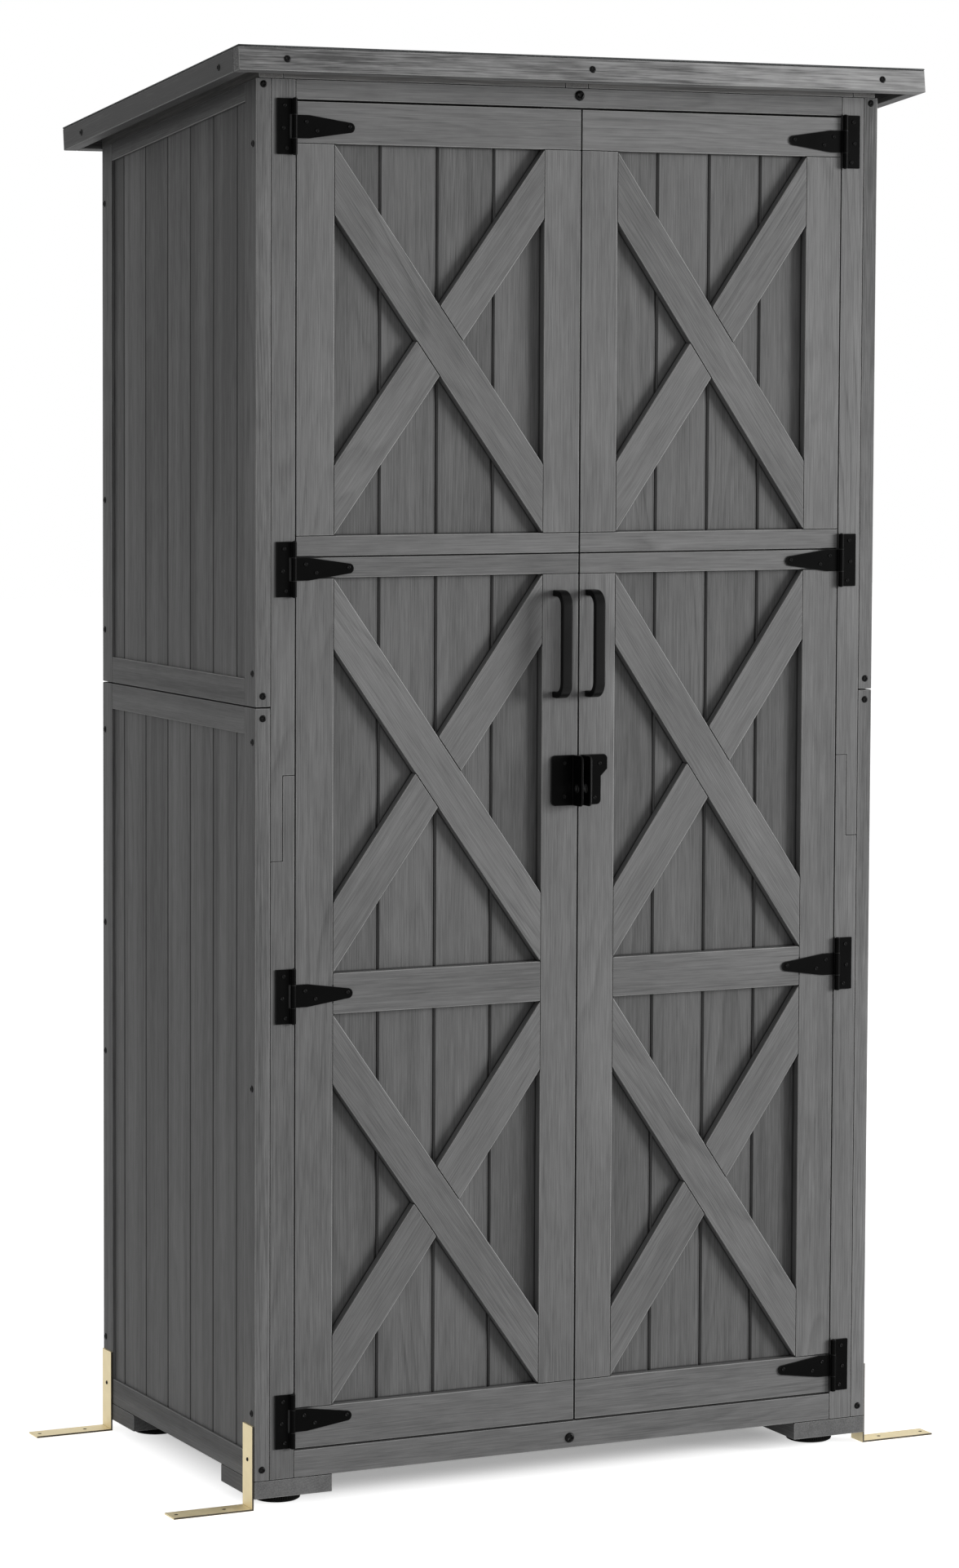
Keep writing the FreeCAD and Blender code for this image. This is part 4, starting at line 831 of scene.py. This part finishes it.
class Screws(bpy.types.Operator):
    """Heads of the screws, bolts, hinge pins and handle bolts"""
    bl_idname = "cabinet.screws"
    bl_label = "Screws"

    def execute(self, context):
        look, metal = context.scene.cabinet_screws, context.scene.cabinet_metal
        black = black_powder_coat("Blackened screws", metal.black, sheen=0.1, rough=0.3)
        zinc = plated_steel("Zinc plated screws", metal.zinc, metal.screw_cloud, rough=0.3)
        small = turned_head(look.small, FLAT_ROWS, height=0.9 * MM, recess=0.5 * MM)
        framing = turned_head(look.frame, PAN_ROWS, height=1.5 * MM, recess=1.0 * MM)
        bolt = turned_head(look.bolt, PAN_ROWS, height=2.6 * MM, recess=1.4 * MM)
        pin = turned_head(look.pin, DOME_ROWS, height=1.0 * MM)
        pin_x, pin_y, _ = next(joint for joint in frame["record"]["behaviour"]["joints"]
                               if joint["name"] == "left_door_hinge")["pos_m"]
        heights = hinge_heights()
        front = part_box("sill_rail")[0][1]
        plates, straps = (
            seats_on(1, front - HINGE_SHEET * MM, FRONT,
                     [(pin_x / MM + x, height + z) for height in heights for x, z in spots])
            for spots in (PLATE_SCREWS, STRAP_SCREWS))
        pins = [((pin_x, pin_y, (height + HINGE_HEIGHT / 2 * way) * MM), (0, 0, way))
                for height in heights for way in (-1, 1)]
        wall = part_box("left_side_lower_frame")[0][0]
        side = seats_on(0, wall, LEFT, WALL_SCREWS)
        side += seats_on(0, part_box("roof_edge_fascias")[0][0], LEFT, ROOF_EDGE_SCREWS)
        side += seats_on(1, front, FRONT, JAMB_SCREWS)
        bolts = seats_on(1, front, FRONT, SILL_AND_HEADER_BOLTS)
        pieces = [("cabinet_screws", "cabinet", black, [
            (framing, side + mirrored(side) + fascia_seats()), (bolt, bolts),
            (small, plates + mirrored(plates)), (pin, pins + mirrored(pins))])]
        for hand, own in (("left", straps), ("right", mirrored(straps))):
            x, _, z = middle(f"{hand}_handle")
            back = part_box(f"{hand}_door_lower_frame")[1][1]
            eyes = seats_on(1, front - EYE_SHEET * MM, FRONT, EYE_SCREWS[hand])
            pull = seats_on(1, back, REAR, ((x, z - PULL_SCREW_RISE), (x, z + PULL_SCREW_RISE)))
            pieces.append((f"{hand}_door_screws", f"{hand}_door", black, [
                (small, own + eyes), (framing, pull)]))
            low, high = np.array(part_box(f"{hand}_mending_plates")) / MM
            spots = [(x, (low[2] + high[2]) / 2 + rise)
                     for x in (low[0] + JOINING_PLATE_WIDTH / 2, high[0] - JOINING_PLATE_WIDTH / 2)
                     for rise in (-JOINING_SCREW_RISE, JOINING_SCREW_RISE)]
            pieces.append((f"{hand}_joining_screws", f"{hand}_door", zinc, [
                (framing, seats_on(1, high[1] * MM, REAR, spots))]))
        low, high = np.array(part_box("ground_brackets")) / MM
        feet = seats_on(0, wall - BRACKET_STRIP * MM, LEFT, [
            (y, BRACKET_SCREW_HEIGHT) for y in (low[1] + BRACKET_WIDTH / 2,
                                                high[1] - BRACKET_WIDTH / 2)])
        pieces.append(("bracket_screws", "cabinet", black, [(small, feet + mirrored(feet))]))
        for name, body, material, groups in pieces:
            slot = "zinc_steel" if material is zinc else "black_steel"
            settle(repeated(name, groups), body, slot, (material,))
        return {"FINISHED"}


class FootPads(bpy.types.Operator):
    """The four moulded pads under the foot blocks"""
    bl_idname = "cabinet.foot_pads"
    bl_label = "Foot pads"

    def execute(self, context):
        metal = context.scene.cabinet_metal
        low, high = np.array(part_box("foot_pads"))
        radius = PAD_RADIUS * MM
        seats = [((x, y, 0), UP) for x in (low[0] + radius, high[0] - radius)
                 for y in (low[1] + radius, high[1] - radius)]
        item = repeated("foot_pads_ribbed", [(ribbed_pad(radius, high[2]), seats)])
        rubber = moulded_rubber("Black moulded rubber", metal.rubber, metal.dust)
        settle(item, "cabinet", "black_plastic", (rubber,), "foot_pads")
        return {"FINISHED"}


class RoofFelt(bpy.types.Operator):
    """Mineral felt on the roof, and the clout nails along its edges"""
    bl_idname = "cabinet.roof_felt"
    bl_label = "Roof felt"

    def execute(self, context):
        look, metal = context.scene.cabinet_felt, context.scene.cabinet_metal
        centre, half, axes = felt_frame()
        points, faces = felt_surface(centre, half, axes, seed=5)
        item = piece_mesh("felt_laid", points, faces, smooth=True)
        felt = roofing_felt("Slate faced bitumen felt", look.bitumen, look.slate)
        settle(item, "cabinet", "roofing_felt", (felt,), "roof_felt")
        inset = half[:2] - look.inset
        across, down = (np.linspace(-reach, reach, round(2 * reach / look.spacing) + 1)
                        for reach in inset)
        spots = [(x, way * inset[1]) for x in across for way in (-1, 1)]
        spots += [(way * inset[0], y) for y in down[1:-1] for way in (-1, 1)]
        level = half[2] - NAIL_SUNK
        seats = [(tuple(centre + np.array((x, y, level)) @ axes), tuple(axes[2]))
                 for x, y in spots]
        head = turned_head(context.scene.cabinet_screws.nail, DOME_ROWS, height=1.5 * MM, spokes=8)
        zinc = plated_steel("Galvanised clout nails", metal.nail, metal.nail_cloud, rough=0.45)
        settle(repeated("felt_nails", [(head, seats)]), "cabinet", "zinc_steel", (zinc,))
        return {"FINISHED"}


class Stage(bpy.types.Operator):
    """Floor, light and the camera at the photograph's viewing angle"""
    bl_idname = "cabinet.stage"
    bl_label = "Stage"

    def execute(self, context):
        look, scene = context.scene.cabinet_stage, context.scene
        scene.view_settings.view_transform = "Standard"
        corners = [(x * FLOOR_HALF, y * FLOOR_HALF, FLOOR_LEVEL)
                   for x, y in ((-1, -1), (1, -1), (1, 1), (-1, 1))]
        floor = piece_mesh("floor", np.array(corners), [[0, 1, 2, 3]])
        floor.data.materials.append(
            painted_floor("White painted floor", look.floor, look.shade, look.lift))
        scene.world = even_light("Even light", look.sky)
        lamp = bpy.data.lights.new("key", "AREA")
        lamp.shape = "RECTANGLE"
        lamp.size = lamp.size_y = LAMP_WIDTH
        lamp.energy = look.key
        key = bpy.data.objects.new("key", lamp)
        scene.collection.objects.link(key)
        key.location = LAMP_PLACE
        aim = Vector(LAMP_AIM) - key.location
        key.rotation_euler = aim.to_track_quat("-Z", "Y").to_euler()
        lens = bpy.data.cameras.new("camera")
        lens.sensor_fit = "VERTICAL"
        lens.sensor_height = 36
        lens.lens = look.lens
        lens.shift_y = CAMERA_SHIFT
        camera = bpy.data.objects.new("camera", lens)
        scene.collection.objects.link(camera)
        turned = Matrix(view_axes()).transposed().to_4x4()
        camera.matrix_world = Matrix.Translation(CAMERA_PLACE) @ turned
        scene.camera = camera
        return {"FINISHED"}


class CabinetPanel(bpy.types.Panel):
    """Lists the cabinet's pieces and settings"""
    bl_idname = "VIEW3D_PT_cabinet"
    bl_label = "Garden storage cabinet"
    bl_space_type = "VIEW_3D"
    bl_region_type = "UI"
    bl_category = "Cabinet"

    def draw(self, context):
        for group in GROUPS:
            for field in GROUPS[group].__annotations__:
                self.layout.prop(getattr(context.scene, group), field)
        for operator in OPERATORS:
            self.layout.operator(operator.bl_idname)


GROUPS = {"cabinet_timber": TimberSettings, "cabinet_metal": MetalSettings,
          "cabinet_screws": ScrewSettings, "cabinet_felt": FeltSettings,
          "cabinet_stage": StageSettings}
OPERATORS = (Timber, Metalwork, Screws, FootPads, RoofFelt, Stage)


def register():
    for group, kind in GROUPS.items():
        bpy.utils.register_class(kind)
        setattr(bpy.types.Scene, group, PointerProperty(type=kind))
    for kind in (*OPERATORS, CabinetPanel):
        bpy.utils.register_class(kind)


def unregister():
    for kind in (CabinetPanel, *reversed(OPERATORS)):
        bpy.utils.unregister_class(kind)
    for group, kind in GROUPS.items():
        delattr(bpy.types.Scene, group)
        bpy.utils.unregister_class(kind)


def main():
    """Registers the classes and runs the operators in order."""
    register()
    for operator in OPERATORS:
        space, name = operator.bl_idname.split(".")
        getattr(getattr(bpy.ops, space), name)()


if __name__ == "__main__":
    main()
